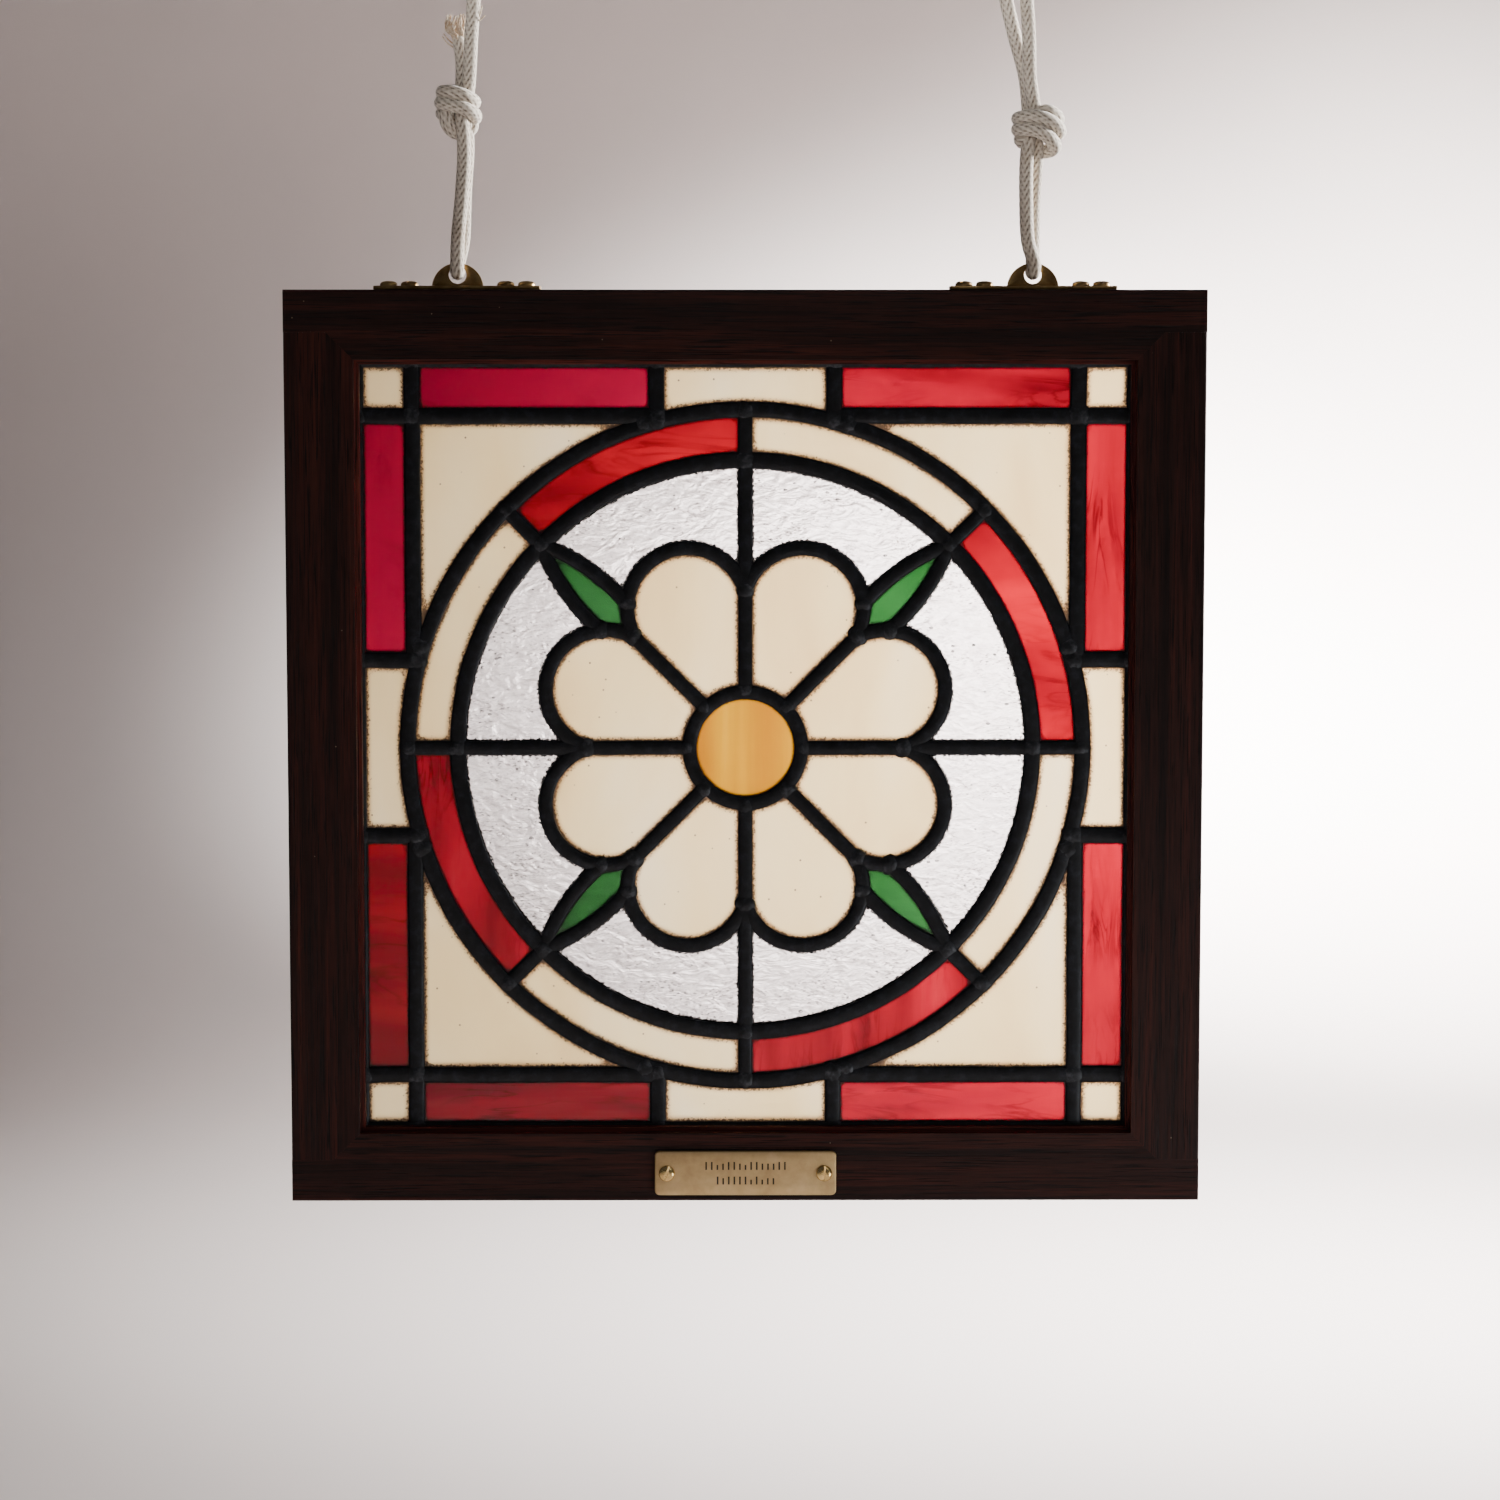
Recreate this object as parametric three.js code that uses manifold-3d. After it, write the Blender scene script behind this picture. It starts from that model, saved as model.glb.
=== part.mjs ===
// A leaded stained glass panel in a dark hardwood frame, hung from two knotted cotton cords.
// Millimetres, +Z up. The panel's front faces -Y, and the origin is midway between the cords' top eyes.
import * as THREE from "three";
import { mergeVertices } from "three/addons/utils/BufferGeometryUtils.js";
import Module from "manifold-3d";

const wasm = await Module();
wasm.setup();

// Frame: two full-width rails and two stiles between them, joined by a short mitre and a shoulder.
const frameSide = 355;
const frameDepth = 22;
const memberFace = 26.8;
const cornerMitre = 10.5;
const beadReach = 1.8;
const beadSetback = 4.2;
const grooveDepth = 5.5;
const jointGap = 0.3;

// Leading: H-section cames with a flat leaf on each face and a heart between the panes.
const edgeCameWidth = 6.1;
const borderCameWidth = 6.2;
const innerCameWidth = 5.5;
const leafThickness = 1.2;
const heartThickness = 1.8;
const panelPlay = 0.6;

// Glass: one thickness throughout, with cement room to the lead on every side.
const glassThickness = 3;
const glassPlay = 0.3;

// Border and ring.
const borderPitch = 21.75;
const sideBlockLength = 68.8;
const ringLap = 2.5;
const ringBand = 19.5;
const ringBlocks = 8;

// Rosette inside the ring, as shares of the ring's inner came radius.
const petalCount = 8;
const discShare = 0.195;
const notchShare = 0.545;
const reachShare = 0.735;
const sepalFootTurn = 33;
const sepalBulge = 2.6;

// Brass hangers on the top edge, each a strip with a pierced tab, held by four dome-head screws.
const hangerInset = 66.5;
const stripLength = 64;
const stripDepth = 15;
const stripThickness = 1.2;
const tabRadius = 10;
const tabSink = 1.2;
const tabThickness = 1.5;
const tabHoleRadius = 3.4;
const tabHoleRise = 4.2;
const screwOffsets = [18.6, 26.6];
const screwHeadRadius = 3.35;
const screwHeadHeight = 1.9;

// Brass name plate on the bottom rail.
const plateLength = 71;
const plateHeight = 17.5;
const plateThickness = 1.5;
const plateCorner = 2;
const plateRise = 11.3;
const plateScrewSpacing = 61.6;
const plateScrewRadius = 3.15;
const plateScrewHeight = 1.6;

// Cotton cords: loops through the hanger tabs up to the eyes that hang on two hooks.
const cordDiameter = 5.6;
const eyeRise = 142;
const seatGap = 0.3;

// Facets: longest chord on the large circles and on the small curves.
const ringChord = 21;
const curveChord = 11;
const cordSides = 8;
const screwSides = 10;
const holeSides = 16;

// Sizes that follow from the driving ones.
const halfFrame = frameSide / 2;
const hangerSpacing = frameSide - 2 * hangerInset;
const innerFace = halfFrame - memberFace;
const sightLine = innerFace - beadReach;
const grooveFloor = sightLine + grooveDepth;
const channelHalf = glassThickness / 2 + glassPlay;
const leadHalf = channelHalf + leafThickness;
const grooveHalf = leadHalf + glassPlay;
const panelEdge = grooveFloor - panelPlay;
const edgeLine = panelEdge - edgeCameWidth / 2;
const gridLine = edgeLine - borderPitch;
const sideLine = sideBlockLength / 2;
const ringOuter = gridLine + ringLap;
const ringInner = ringOuter - ringBand;
const discRadius = discShare * ringInner;
const notchRadius = notchShare * ringInner;
const petalReach = reachShare * ringInner;

const finishes = {
  wood: { color: "#2a1a14", roughness: 0.62, metalness: 0 },
  lead: { color: "#262b33", roughness: 0.5, metalness: 0.7 },
  cream: { color: "#ece2cf", roughness: 0.25, metalness: 0 },
  red: { color: "#b3121c", roughness: 0.2, metalness: 0 },
  amber: { color: "#eeb02c", roughness: 0.2, metalness: 0 },
  green: { color: "#2f7a3a", roughness: 0.2, metalness: 0 },
  clear: { color: "#e4e6ea", roughness: 0.08, metalness: 0, transparent: true, opacity: 0.35 },
  brass: { color: "#b8975a", roughness: 0.35, metalness: 1 },
  cotton: { color: "#d8d0c2", roughness: 0.95, metalness: 0 },
};
const materialFor = (finish) => new THREE.MeshStandardMaterial(finishes[finish]);

// Points in the panel's plane are (x, z) pairs, held as Vector2.
const at = (x, z) => new THREE.Vector2(x, z);
const polar = (radius, degrees, centre = at(0, 0)) => {
  const angle = THREE.MathUtils.degToRad(degrees);
  return at(centre.x + radius * Math.cos(angle), centre.y + radius * Math.sin(angle));
};

// Points along an arc, evenly spaced, no chord longer than the one given.
function arcPoints(centre, radius, from, to, chord) {
  const length = Math.abs(THREE.MathUtils.degToRad(to - from)) * radius;
  const steps = Math.max(1, Math.ceil(length / chord));
  return Array.from({ length: steps + 1 }, (_, i) =>
    polar(radius, from + ((to - from) * i) / steps, centre),
  );
}

// The corners of a regular polygon round a centre.
const ringPoints = (radius, sides, centre = at(0, 0)) =>
  Array.from({ length: sides }, (_, i) => polar(radius, (i * 360) / sides, centre));

// Points along the arc from one point to another that stands off its chord by the bulge, to the left.
function bowPoints(start, end, bulge, chord) {
  const half = end.clone().sub(start).multiplyScalar(0.5);
  const radius = (half.lengthSq() + bulge * bulge) / (2 * bulge);
  const left = at(-half.y, half.x).normalize();
  const centre = start.clone().add(half).addScaledVector(left, bulge - radius);
  const degreesOf = (p) => THREE.MathUtils.radToDeg(Math.atan2(p.y - centre.y, p.x - centre.x));
  const from = degreesOf(start);
  const turn = THREE.MathUtils.euclideanModulo(degreesOf(end) - from + 180, 360) - 180;
  return arcPoints(centre, radius, from, from + turn, chord);
}

// A solid for joining and cutting, made from a closed geometry.
function solidOf(geometry) {
  const bare = geometry.clone();
  bare.deleteAttribute("normal");
  bare.deleteAttribute("uv");
  const merged = mergeVertices(bare, 1e-4);
  return new wasm.Manifold(
    new wasm.Mesh({
      numProp: 3,
      vertProperties: new Float32Array(merged.attributes.position.array),
      triVerts: new Uint32Array(merged.index.array),
    }),
  );
}

// A flat-shaded geometry from a solid.
function geometryOf(solid) {
  const mesh = solid.getMesh();
  const indexed = new THREE.BufferGeometry();
  indexed.setAttribute("position", new THREE.BufferAttribute(mesh.vertProperties, 3));
  indexed.setIndex(new THREE.BufferAttribute(mesh.triVerts, 1));
  const geometry = indexed.toNonIndexed();
  geometry.computeVertexNormals();
  return geometry;
}

const joined = (solids) => solids.reduce((all, next) => all.add(next));

// A shape in the panel's plane, extruded from the front depth to the back depth.
function slab(shape, front, back) {
  const geometry = new THREE.ExtrudeGeometry(shape, {
    depth: back - front,
    bevelEnabled: false,
    curveSegments: 4,
  });
  geometry.translate(0, 0, -back);
  geometry.rotateX(Math.PI / 2);
  return geometry;
}

const partMesh = (name, geometry, finish) => {
  const mesh = new THREE.Mesh(geometry, materialFor(finish));
  mesh.name = name;
  return mesh;
};

// Frame

// Depth layers of every member's section: front face, sight bead, groove for the panel, back face.
const layerLap = 0.1;
const memberLayers = [
  { front: -frameDepth / 2, back: -frameDepth / 2 + beadSetback, inner: innerFace },
  { front: -frameDepth / 2 + beadSetback - layerLap, back: -grooveHalf, inner: sightLine },
  { front: -grooveHalf - layerLap, back: grooveHalf + layerLap, inner: grooveFloor },
  { front: grooveHalf, back: frameDepth / 2, inner: sightLine },
];
const shoulder = innerFace + cornerMitre;

// The top rail's outline: its ends run out to the frame's corners over the stiles' shoulders.
function railShape(inner) {
  const corner = Math.min(inner, shoulder);
  return new THREE.Shape([
    at(-halfFrame, halfFrame),
    at(-halfFrame, shoulder),
    at(-shoulder, shoulder),
    at(-corner, corner),
    at(corner, corner),
    at(shoulder, shoulder),
    at(halfFrame, shoulder),
    at(halfFrame, halfFrame),
  ]);
}

// The right stile's outline: shouldered outside and mitred inside, at both ends.
function stileShape(inner) {
  const slope = jointGap * Math.SQRT2;
  const end = shoulder - jointGap;
  return new THREE.Shape([
    at(inner, -inner + slope),
    at(end + slope, -end),
    at(halfFrame, -end),
    at(halfFrame, end),
    at(end + slope, end),
    at(inner, inner - slope),
  ]);
}

function frameMember(name, shapeOf, turn) {
  const layers = memberLayers.map(({ front, back, inner }) =>
    solidOf(slab(shapeOf(inner), front, back)),
  );
  const mesh = partMesh(name, geometryOf(joined(layers)), "wood");
  mesh.rotation.y = turn;
  return mesh;
}

const frame = new THREE.Group();
frame.add(
  frameMember("frame_top_rail", railShape, 0),
  frameMember("frame_bottom_rail", railShape, Math.PI),
  frameMember("frame_right_stile", stileShape, 0),
  frameMember("frame_left_stile", stileShape, Math.PI),
);

// Lead lines

const quarterTurns = [0, 90, 180, 270];
const turned = (points, degrees) =>
  points.map((p) => p.clone().rotateAround(at(0, 0), THREE.MathUtils.degToRad(degrees)));

// A whole circle whose corners include every place where the petals and ring blocks meet it.
const circle = (radius, chord) =>
  ringPoints(radius, petalCount * Math.ceil((2 * Math.PI * radius) / petalCount / chord));

const petalStep = 360 / petalCount;
const ringStep = 360 / ringBlocks;

// A petal's round tip: the circle through its two notches and its furthest point.
const notchHalf = notchRadius * Math.sin(THREE.MathUtils.degToRad(petalStep / 2));
const notchBase = notchRadius * Math.cos(THREE.MathUtils.degToRad(petalStep / 2));
const tipBulge = petalReach - notchBase;
const tipRadius = (notchHalf ** 2 + tipBulge ** 2) / (2 * tipBulge);
const tipCentre = petalReach - tipRadius;
const tipHalfTurn = THREE.MathUtils.radToDeg(Math.atan2(notchHalf, notchBase - tipCentre));

// The petal with its axis at these degrees: its tip's points from one share of the arc to another.
const tipPoints = (axis, from, to) =>
  arcPoints(polar(tipCentre, axis), tipRadius, axis + from, axis + to, curveChord);

// A sepal springs from the tips of the two petals beside it and closes to a point at the ring.
// Each side runs from its foot to that point.
const sepalFoot = tipHalfTurn - sepalFootTurn;
const sepalSide = (axis, side) => {
  const petalAxis = axis + (side * petalStep) / 2;
  const foot = polar(tipRadius, petalAxis - side * sepalFoot, polar(tipCentre, petalAxis));
  const top = polar(ringInner, axis);
  return side > 0
    ? bowPoints(foot, top, sepalBulge, curveChord)
    : bowPoints(top, foot, sepalBulge, curveChord).reverse();
};

const ringCrossing = Math.sqrt(ringOuter ** 2 - sideLine ** 2);
const sepalAxes = quarterTurns.map((turn) => turn + petalStep);
const petalAxes = Array.from({ length: petalCount }, (_, i) => (i + 0.5) * petalStep);
const square = (half) => [at(-half, -half), at(half, -half), at(half, half), at(-half, half)];

// Every came run, as its centre line and its leaf width.
const borderRuns = (turn) =>
  [1, -1].flatMap((sign) =>
    [
      [at(gridLine, sign * sideLine), at(gridLine, sign * edgeLine)],
      [at(ringCrossing, sign * sideLine), at(edgeLine, sign * sideLine)],
    ].map((line) => ({ line: turned(line, turn), width: borderCameWidth })),
  );
const cames = [
  ...quarterTurns.flatMap(borderRuns),
  ...quarterTurns.map((turn) => ({
    line: [polar(notchRadius, turn), polar(ringInner, turn)],
    width: innerCameWidth,
  })),
  { line: circle(ringOuter, ringChord), width: borderCameWidth, closed: true },
  { line: circle(ringInner, ringChord), width: borderCameWidth, closed: true },
  ...Array.from({ length: ringBlocks }, (_, i) => ({
    line: [polar(ringInner, i * ringStep), polar(ringOuter, i * ringStep)],
    width: innerCameWidth,
  })),
  { line: circle(discRadius, curveChord), width: innerCameWidth, closed: true },
  ...petalAxes.flatMap((axis) => [
    {
      line: [polar(discRadius, axis - petalStep / 2), polar(notchRadius, axis - petalStep / 2)],
      width: innerCameWidth,
    },
    { line: tipPoints(axis, -tipHalfTurn, tipHalfTurn), width: innerCameWidth },
  ]),
  ...sepalAxes.flatMap((axis) => [
    { line: sepalSide(axis, 1), width: innerCameWidth },
    { line: sepalSide(axis, -1), width: innerCameWidth },
  ]),
];

// The flat outline of a run widened by the same amount to both sides, mitred at its bends.
function band({ line, closed }, half) {
  const count = line.length;
  const side = (sign) =>
    line.map((point, i) => {
      const before = closed ? line[(i - 1 + count) % count] : line[Math.max(i - 1, 0)];
      const after = closed ? line[(i + 1) % count] : line[Math.min(i + 1, count - 1)];
      const came = point.clone().sub(before).normalize();
      const goes = after.clone().sub(point).normalize();
      const first = came.lengthSq() ? came : goes;
      const second = goes.lengthSq() ? goes : came;
      const mitre = at(-first.y - second.y, first.x + second.x).normalize();
      const reach = half / mitre.dot(at(-first.y, first.x));
      return point.clone().addScaledVector(mitre, sign * reach);
    });
  if (!closed) return new THREE.Shape([...side(1), ...side(-1).reverse()]);
  const shape = new THREE.Shape(side(-1));
  shape.holes.push(new THREE.Path(side(1)));
  return shape;
}

// One depth layer of the whole net, each run widened by its own half width.
const netLayer = (halfOf, front, back) =>
  joined(cames.map((came) => solidOf(slab(band(came, halfOf(came)), front, back))));

// The square came round the panel's edge: its leaves reach in over the glass from a solid outer rim.
function edgeLayer(inner, front, back) {
  const shape = new THREE.Shape(square(panelEdge));
  shape.holes.push(new THREE.Path(square(inner)));
  return solidOf(slab(shape, front, back));
}

const leafOf = (came) => came.width / 2;
const heartHalf = heartThickness / 2;
const edgeLeaf = panelEdge - edgeCameWidth;
const leadNet = joined([
  netLayer(leafOf, -leadHalf, -channelHalf),
  edgeLayer(edgeLeaf, -leadHalf, -channelHalf),
  netLayer(() => heartHalf, -channelHalf - layerLap, channelHalf + layerLap),
  edgeLayer(edgeLine + heartHalf, -channelHalf - layerLap, channelHalf + layerLap),
  netLayer(leafOf, channelHalf, leadHalf),
  edgeLayer(edgeLeaf, channelHalf, leadHalf),
]);

// Glass

// What a pane loses to the leading: every heart, widened by the cement room.
const glassHalf = glassThickness / 2;
const cutHalf = heartHalf + glassPlay;
const cutOverrun = 1;
const cutLines = netLayer(() => cutHalf, -glassHalf - cutOverrun, glassHalf + cutOverrun);
const paneEdge = edgeLine + heartHalf - glassPlay;

// A pane cut from its blank, whose outline runs along the came centre lines around it.
function pane(name, outline, finish) {
  const blank = solidOf(slab(new THREE.Shape(outline), -glassHalf, glassHalf));
  return partMesh(name, geometryOf(blank.subtract(cutLines)), finish);
}

const glass = new THREE.Group();
const corners = ["top_right", "top_left", "bottom_left", "bottom_right"];
const sides = ["right", "top", "left", "bottom"];
const barEnds = {
  right: ["lower", "upper"],
  top: ["right", "left"],
  left: ["upper", "lower"],
  bottom: ["left", "right"],
};

// Where the leaves of the ring and the grid part, less the pane's grip under them.
const paneGrip = borderCameWidth / 2 - cutHalf;
const ringRim = ringOuter + borderCameWidth / 2;
const gridRim = gridLine - borderCameWidth / 2;
const spandrelTip = Math.sqrt(ringRim ** 2 - gridRim ** 2) - paneGrip;
const spandrelTurn = THREE.MathUtils.radToDeg(Math.asin(spandrelTip / ringOuter));
const ringArc = (from, to) => arcPoints(at(0, 0), ringOuter, from, to, ringChord);
const sideTurn = THREE.MathUtils.radToDeg(Math.asin(sideLine / ringOuter));

quarterTurns.forEach((turn, i) => {
  const cut = (name, outline, finish) => glass.add(pane(name, turned(outline, turn), finish));
  const bar = (sign) => [
    at(gridLine, sign * sideLine),
    at(paneEdge, sign * sideLine),
    at(paneEdge, sign * gridLine),
    at(gridLine, sign * gridLine),
  ];
  const corner = [
    at(gridLine, gridLine),
    at(paneEdge, gridLine),
    at(paneEdge, paneEdge),
    at(gridLine, paneEdge),
  ];
  const spandrel = [
    ...ringArc(90 - spandrelTurn, spandrelTurn),
    at(gridLine, spandrelTip),
    at(gridLine, gridLine),
    at(spandrelTip, gridLine),
  ];
  cut(`corner_glass_${corners[i]}`, corner, "cream");
  cut(`red_bar_${sides[i]}_${barEnds[sides[i]][0]}`, bar(-1).reverse(), "red");
  cut(`red_bar_${sides[i]}_${barEnds[sides[i]][1]}`, bar(1), "red");
  cut(
    `side_glass_${sides[i]}`,
    [...ringArc(sideTurn, -sideTurn), at(paneEdge, -sideLine), at(paneEdge, sideLine)],
    "cream",
  );
  cut(`spandrel_glass_${corners[i]}`, spandrel, "cream");
});

// Ring blocks, counted anticlockwise from the right, cream and red in turn.
for (let i = 0; i < ringBlocks; i += 1) {
  const outer = arcPoints(at(0, 0), ringOuter, i * ringStep, (i + 1) * ringStep, ringChord);
  const inner = arcPoints(at(0, 0), ringInner, (i + 1) * ringStep, i * ringStep, ringChord);
  const finish = i % 2 === 0 ? "red" : "cream";
  glass.add(pane(`ring_${finish}_${i + 1}`, [...outer, ...inner], finish));
}

glass.add(pane("centre_glass", circle(discRadius, curveChord), "amber"));
petalAxes.forEach((axis, i) => {
  const half = petalStep / 2;
  const base = arcPoints(at(0, 0), discRadius, axis + half, axis - half, curveChord);
  const outline = [...tipPoints(axis, -tipHalfTurn, tipHalfTurn), ...base];
  glass.add(pane(`petal_glass_${i + 1}`, outline, "cream"));
});
sepalAxes.forEach((axis, i) => {
  const outline = [
    ...tipPoints(axis - petalStep / 2, sepalFoot, tipHalfTurn),
    ...tipPoints(axis + petalStep / 2, -tipHalfTurn, -sepalFoot).slice(1),
    ...sepalSide(axis, 1).slice(1),
    ...sepalSide(axis, -1).reverse().slice(1, -1),
  ];
  glass.add(pane(`sepal_glass_${i + 1}`, outline, "green"));
});

// Clear ground panes, one on each side of every upright or level radius.
quarterTurns.forEach((turn, i) => {
  const ring = (from, to) => arcPoints(at(0, 0), ringInner, from, to, ringChord);
  const after = [
    ...ring(turn, turn + petalStep),
    ...sepalSide(turn + petalStep, -1).reverse().slice(1),
    ...tipPoints(turn + petalStep / 2, sepalFoot, -tipHalfTurn).slice(1),
  ];
  const before = [
    ...ring(turn - petalStep, turn),
    ...tipPoints(turn - petalStep / 2, tipHalfTurn, -sepalFoot),
    ...sepalSide(turn - petalStep, 1).slice(1, -1),
  ];
  glass.add(pane(`ground_glass_${2 * i + 1}`, before, "clear"));
  glass.add(pane(`ground_glass_${2 * i + 2}`, after, "clear"));
});

// Brass

// A dome screw head standing on the plane z = 0, sunk a little so that it joins what it holds.
const headSink = 0.4;
function screwHead(radius, height) {
  const rim = height * 0.35;
  const profile = [at(0, -headSink), at(radius, -headSink), at(radius, rim)];
  for (const turn of [30, 60]) {
    const angle = THREE.MathUtils.degToRad(turn);
    profile.push(at(radius * Math.cos(angle), rim + (height - rim) * Math.sin(angle)));
  }
  profile.push(at(0, height));
  return new THREE.LatheGeometry(profile, screwSides).rotateX(Math.PI / 2);
}

// A hanger in its own frame: the strip's underside on z = 0, the tab upright across its middle.
function hangerGeometry() {
  const strip = new THREE.BoxGeometry(stripLength, stripDepth, stripThickness);
  strip.translate(0, 0, stripThickness / 2);
  const spread = THREE.MathUtils.radToDeg(Math.asin((tabSink - stripThickness / 2) / tabRadius));
  const centre = at(0, stripThickness - tabSink);
  const tab = new THREE.Shape(arcPoints(centre, tabRadius, spread, 180 - spread, tabRadius / 3));
  const hole = at(0, stripThickness + tabHoleRise);
  tab.holes.push(new THREE.Path(ringPoints(tabHoleRadius, holeSides, hole)));
  const pieces = [strip, slab(tab, -tabThickness / 2, tabThickness / 2)];
  for (const offset of screwOffsets.flatMap((value) => [-value, value])) {
    pieces.push(screwHead(screwHeadRadius, screwHeadHeight).translate(offset, 0, stripThickness));
  }
  return geometryOf(joined(pieces.map(solidOf)));
}

const brass = new THREE.Group();
for (const [side, sign] of [["left", -1], ["right", 1]]) {
  const hanger = partMesh(`hanger_${side}`, hangerGeometry(), "brass");
  hanger.position.set((sign * hangerSpacing) / 2, 0, halfFrame + seatGap);
  brass.add(hanger);
}

function platePiece() {
  const x = plateLength / 2 - plateCorner;
  const z = plateHeight / 2 - plateCorner;
  const outline = [[x, z, 0], [-x, z, 90], [-x, -z, 180], [x, -z, 270]].flatMap(([cx, cz, from]) =>
    arcPoints(at(cx, cz), plateCorner, from, from + 90, plateCorner * 0.6),
  );
  const pieces = [slab(new THREE.Shape(outline), -plateThickness, 0)];
  for (const sign of [-1, 1]) {
    const head = screwHead(plateScrewRadius, plateScrewHeight).rotateX(Math.PI / 2);
    pieces.push(head.translate((sign * plateScrewSpacing) / 2, -plateThickness, 0));
  }
  const mesh = partMesh("name_plate", geometryOf(joined(pieces.map(solidOf))), "brass");
  mesh.position.set(0, -frameDepth / 2 - seatGap, -halfFrame + plateRise);
  return mesh;
}
brass.add(platePiece());

// Cords

// A cord tube along a smooth curve through chosen points, one step for each length given.
function cordTube(points, step) {
  const curve = new THREE.CatmullRomCurve3(
    points.map(([x, y, z]) => new THREE.Vector3(x, y, z)),
    false,
    "centripetal",
  );
  const section = new THREE.Shape(ringPoints(cordDiameter / 2, cordSides));
  return new THREE.ExtrudeGeometry(section, {
    extrudePath: curve,
    steps: Math.ceil(curve.getLength() / step),
    bevelEnabled: false,
  });
}

// A knot's outer shape: a squat barrel with rounded ends, leaning as the real one does.
function knotBody({ centre, radius, height, lean }) {
  const profile = [
    [0, -0.5], [0.62, -0.5], [0.9, -0.3], [1, 0], [0.9, 0.3], [0.62, 0.5], [0, 0.5],
  ].map(([r, h]) => at(r * radius, h * height));
  const body = new THREE.LatheGeometry(profile, cordSides + 2);
  body.rotateX(Math.PI / 2);
  body.rotateY(THREE.MathUtils.degToRad(lean));
  return body.translate(...centre);
}

// Routes in a hanger's own frame: x from the tab's middle, z from the middle of the tab's hole.
const loopStep = 3.6;
const strandStep = 9;
const eyeStep = 5.5;
const bight = [
  [0.1, -3.9, 4.2], [0, -3.3, 1.2], [0, -1.3, 0], [0, 1.3, 0], [0, 3.3, 1.2], [0.1, 3.9, 4.2],
];
const leftCord = {
  runs: [
    {
      step: loopStep,
      points: [
        [2.4, -2, 58], [3, -2.9, 48], [2, -3, 30], [0.4, -3.4, 13.5], ...bight,
        [2, 3.4, 13.5], [2.7, 3, 30], [3.9, 2.9, 48], [3.6, 2, 58],
      ],
    },
    {
      step: strandStep,
      points: [[3.4, -1, 60], [4.9, -1.4, 74], [5.9, -1.2, 91], [6.8, -0.6, 106], [7, 0, 117]],
    },
    {
      step: strandStep,
      points: [[1, 2, 62], [2.1, 3.2, 75], [2.5, 3.9, 84], [2.3, 4.2, 92], [1.4, 4.6, 101]],
    },
    {
      step: eyeStep,
      points: [
        [5.6, 0, 114.5], [1.2, 0, 119.5], [0, 0, 126.5], [2.4, 0, 131.6], [7, 0, 133.5],
        [11.6, 0, 131.6], [14, 0, 126.5], [12.8, 0, 119.5], [8.4, 0, 114.5],
      ],
    },
  ],
  knots: [
    { centre: [0.5, 0, 61.6], radius: 9.7, height: 24, lean: -7 },
    { centre: [7, 0, 116], radius: 7.2, height: 14, lean: 0 },
  ],
};
const rightCord = {
  runs: [
    {
      step: loopStep,
      points: [
        [-2, -1.6, 54], [-2.9, -2.4, 45], [-3, -2.9, 30], [-2.2, -3.3, 13], ...bight,
        [0.2, 3.3, 13], [0.4, 2.9, 30], [1.3, 2.4, 45], [2, 1.6, 54],
      ],
    },
    {
      step: eyeStep,
      points: [
        [-2, 1.8, 60], [-3.2, 2.8, 75.6], [-7.4, 2, 91], [-11.2, 1, 106.4], [-13.2, 0.4, 118],
        [-12.6, 0, 126.5], [-7.6, 0, 133.5], [-2.8, 0, 127], [-2.4, -0.4, 118], [-3.1, -1, 106.4],
        [-2.2, -2, 91], [-1.8, -2.8, 75.6], [0.4, -1.8, 60],
      ],
    },
  ],
  knots: [{ centre: [1.7, 0, 56.3], radius: 10.3, height: 19.5, lean: 14 }],
};

const cords = new THREE.Group();
const holeHeight = halfFrame + seatGap + stripThickness + tabHoleRise;
for (const [side, sign, cord] of [["left", -1, leftCord], ["right", 1, rightCord]]) {
  const solids = [
    ...cord.runs.map(({ points, step }) => solidOf(cordTube(points, step))),
    ...cord.knots.map((knot) => solidOf(knotBody(knot))),
  ];
  const mesh = partMesh(`cord_${side}`, geometryOf(joined(solids)), "cotton");
  mesh.position.set((sign * hangerSpacing) / 2, 0, holeHeight);
  cords.add(mesh);
}

// The whole part, lowered so that the origin lies between the tops of the two eyes.
const window = new THREE.Group();
window.add(frame, partMesh("lead_came_net", geometryOf(leadNet), "lead"), glass, brass, cords);
window.position.z = -halfFrame - eyeRise;

const part = new THREE.Group();
part.add(window);
export default part;
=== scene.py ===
import math
import random

import bmesh
import bpy
from mathutils import Matrix, Vector, kdtree, noise


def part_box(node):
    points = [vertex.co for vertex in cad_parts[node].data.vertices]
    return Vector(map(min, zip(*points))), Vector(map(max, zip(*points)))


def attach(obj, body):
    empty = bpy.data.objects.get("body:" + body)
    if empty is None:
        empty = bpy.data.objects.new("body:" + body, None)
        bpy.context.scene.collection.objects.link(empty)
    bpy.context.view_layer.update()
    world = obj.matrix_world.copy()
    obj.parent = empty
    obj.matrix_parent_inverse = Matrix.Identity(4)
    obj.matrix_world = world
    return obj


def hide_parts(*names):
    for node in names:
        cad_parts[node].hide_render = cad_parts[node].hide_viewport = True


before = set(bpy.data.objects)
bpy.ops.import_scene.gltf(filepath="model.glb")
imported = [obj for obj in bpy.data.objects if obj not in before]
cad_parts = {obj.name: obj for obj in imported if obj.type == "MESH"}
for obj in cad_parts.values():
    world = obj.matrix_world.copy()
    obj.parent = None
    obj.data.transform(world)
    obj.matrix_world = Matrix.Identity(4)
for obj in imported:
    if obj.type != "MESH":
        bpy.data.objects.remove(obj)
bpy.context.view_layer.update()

MM = 0.001

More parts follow.
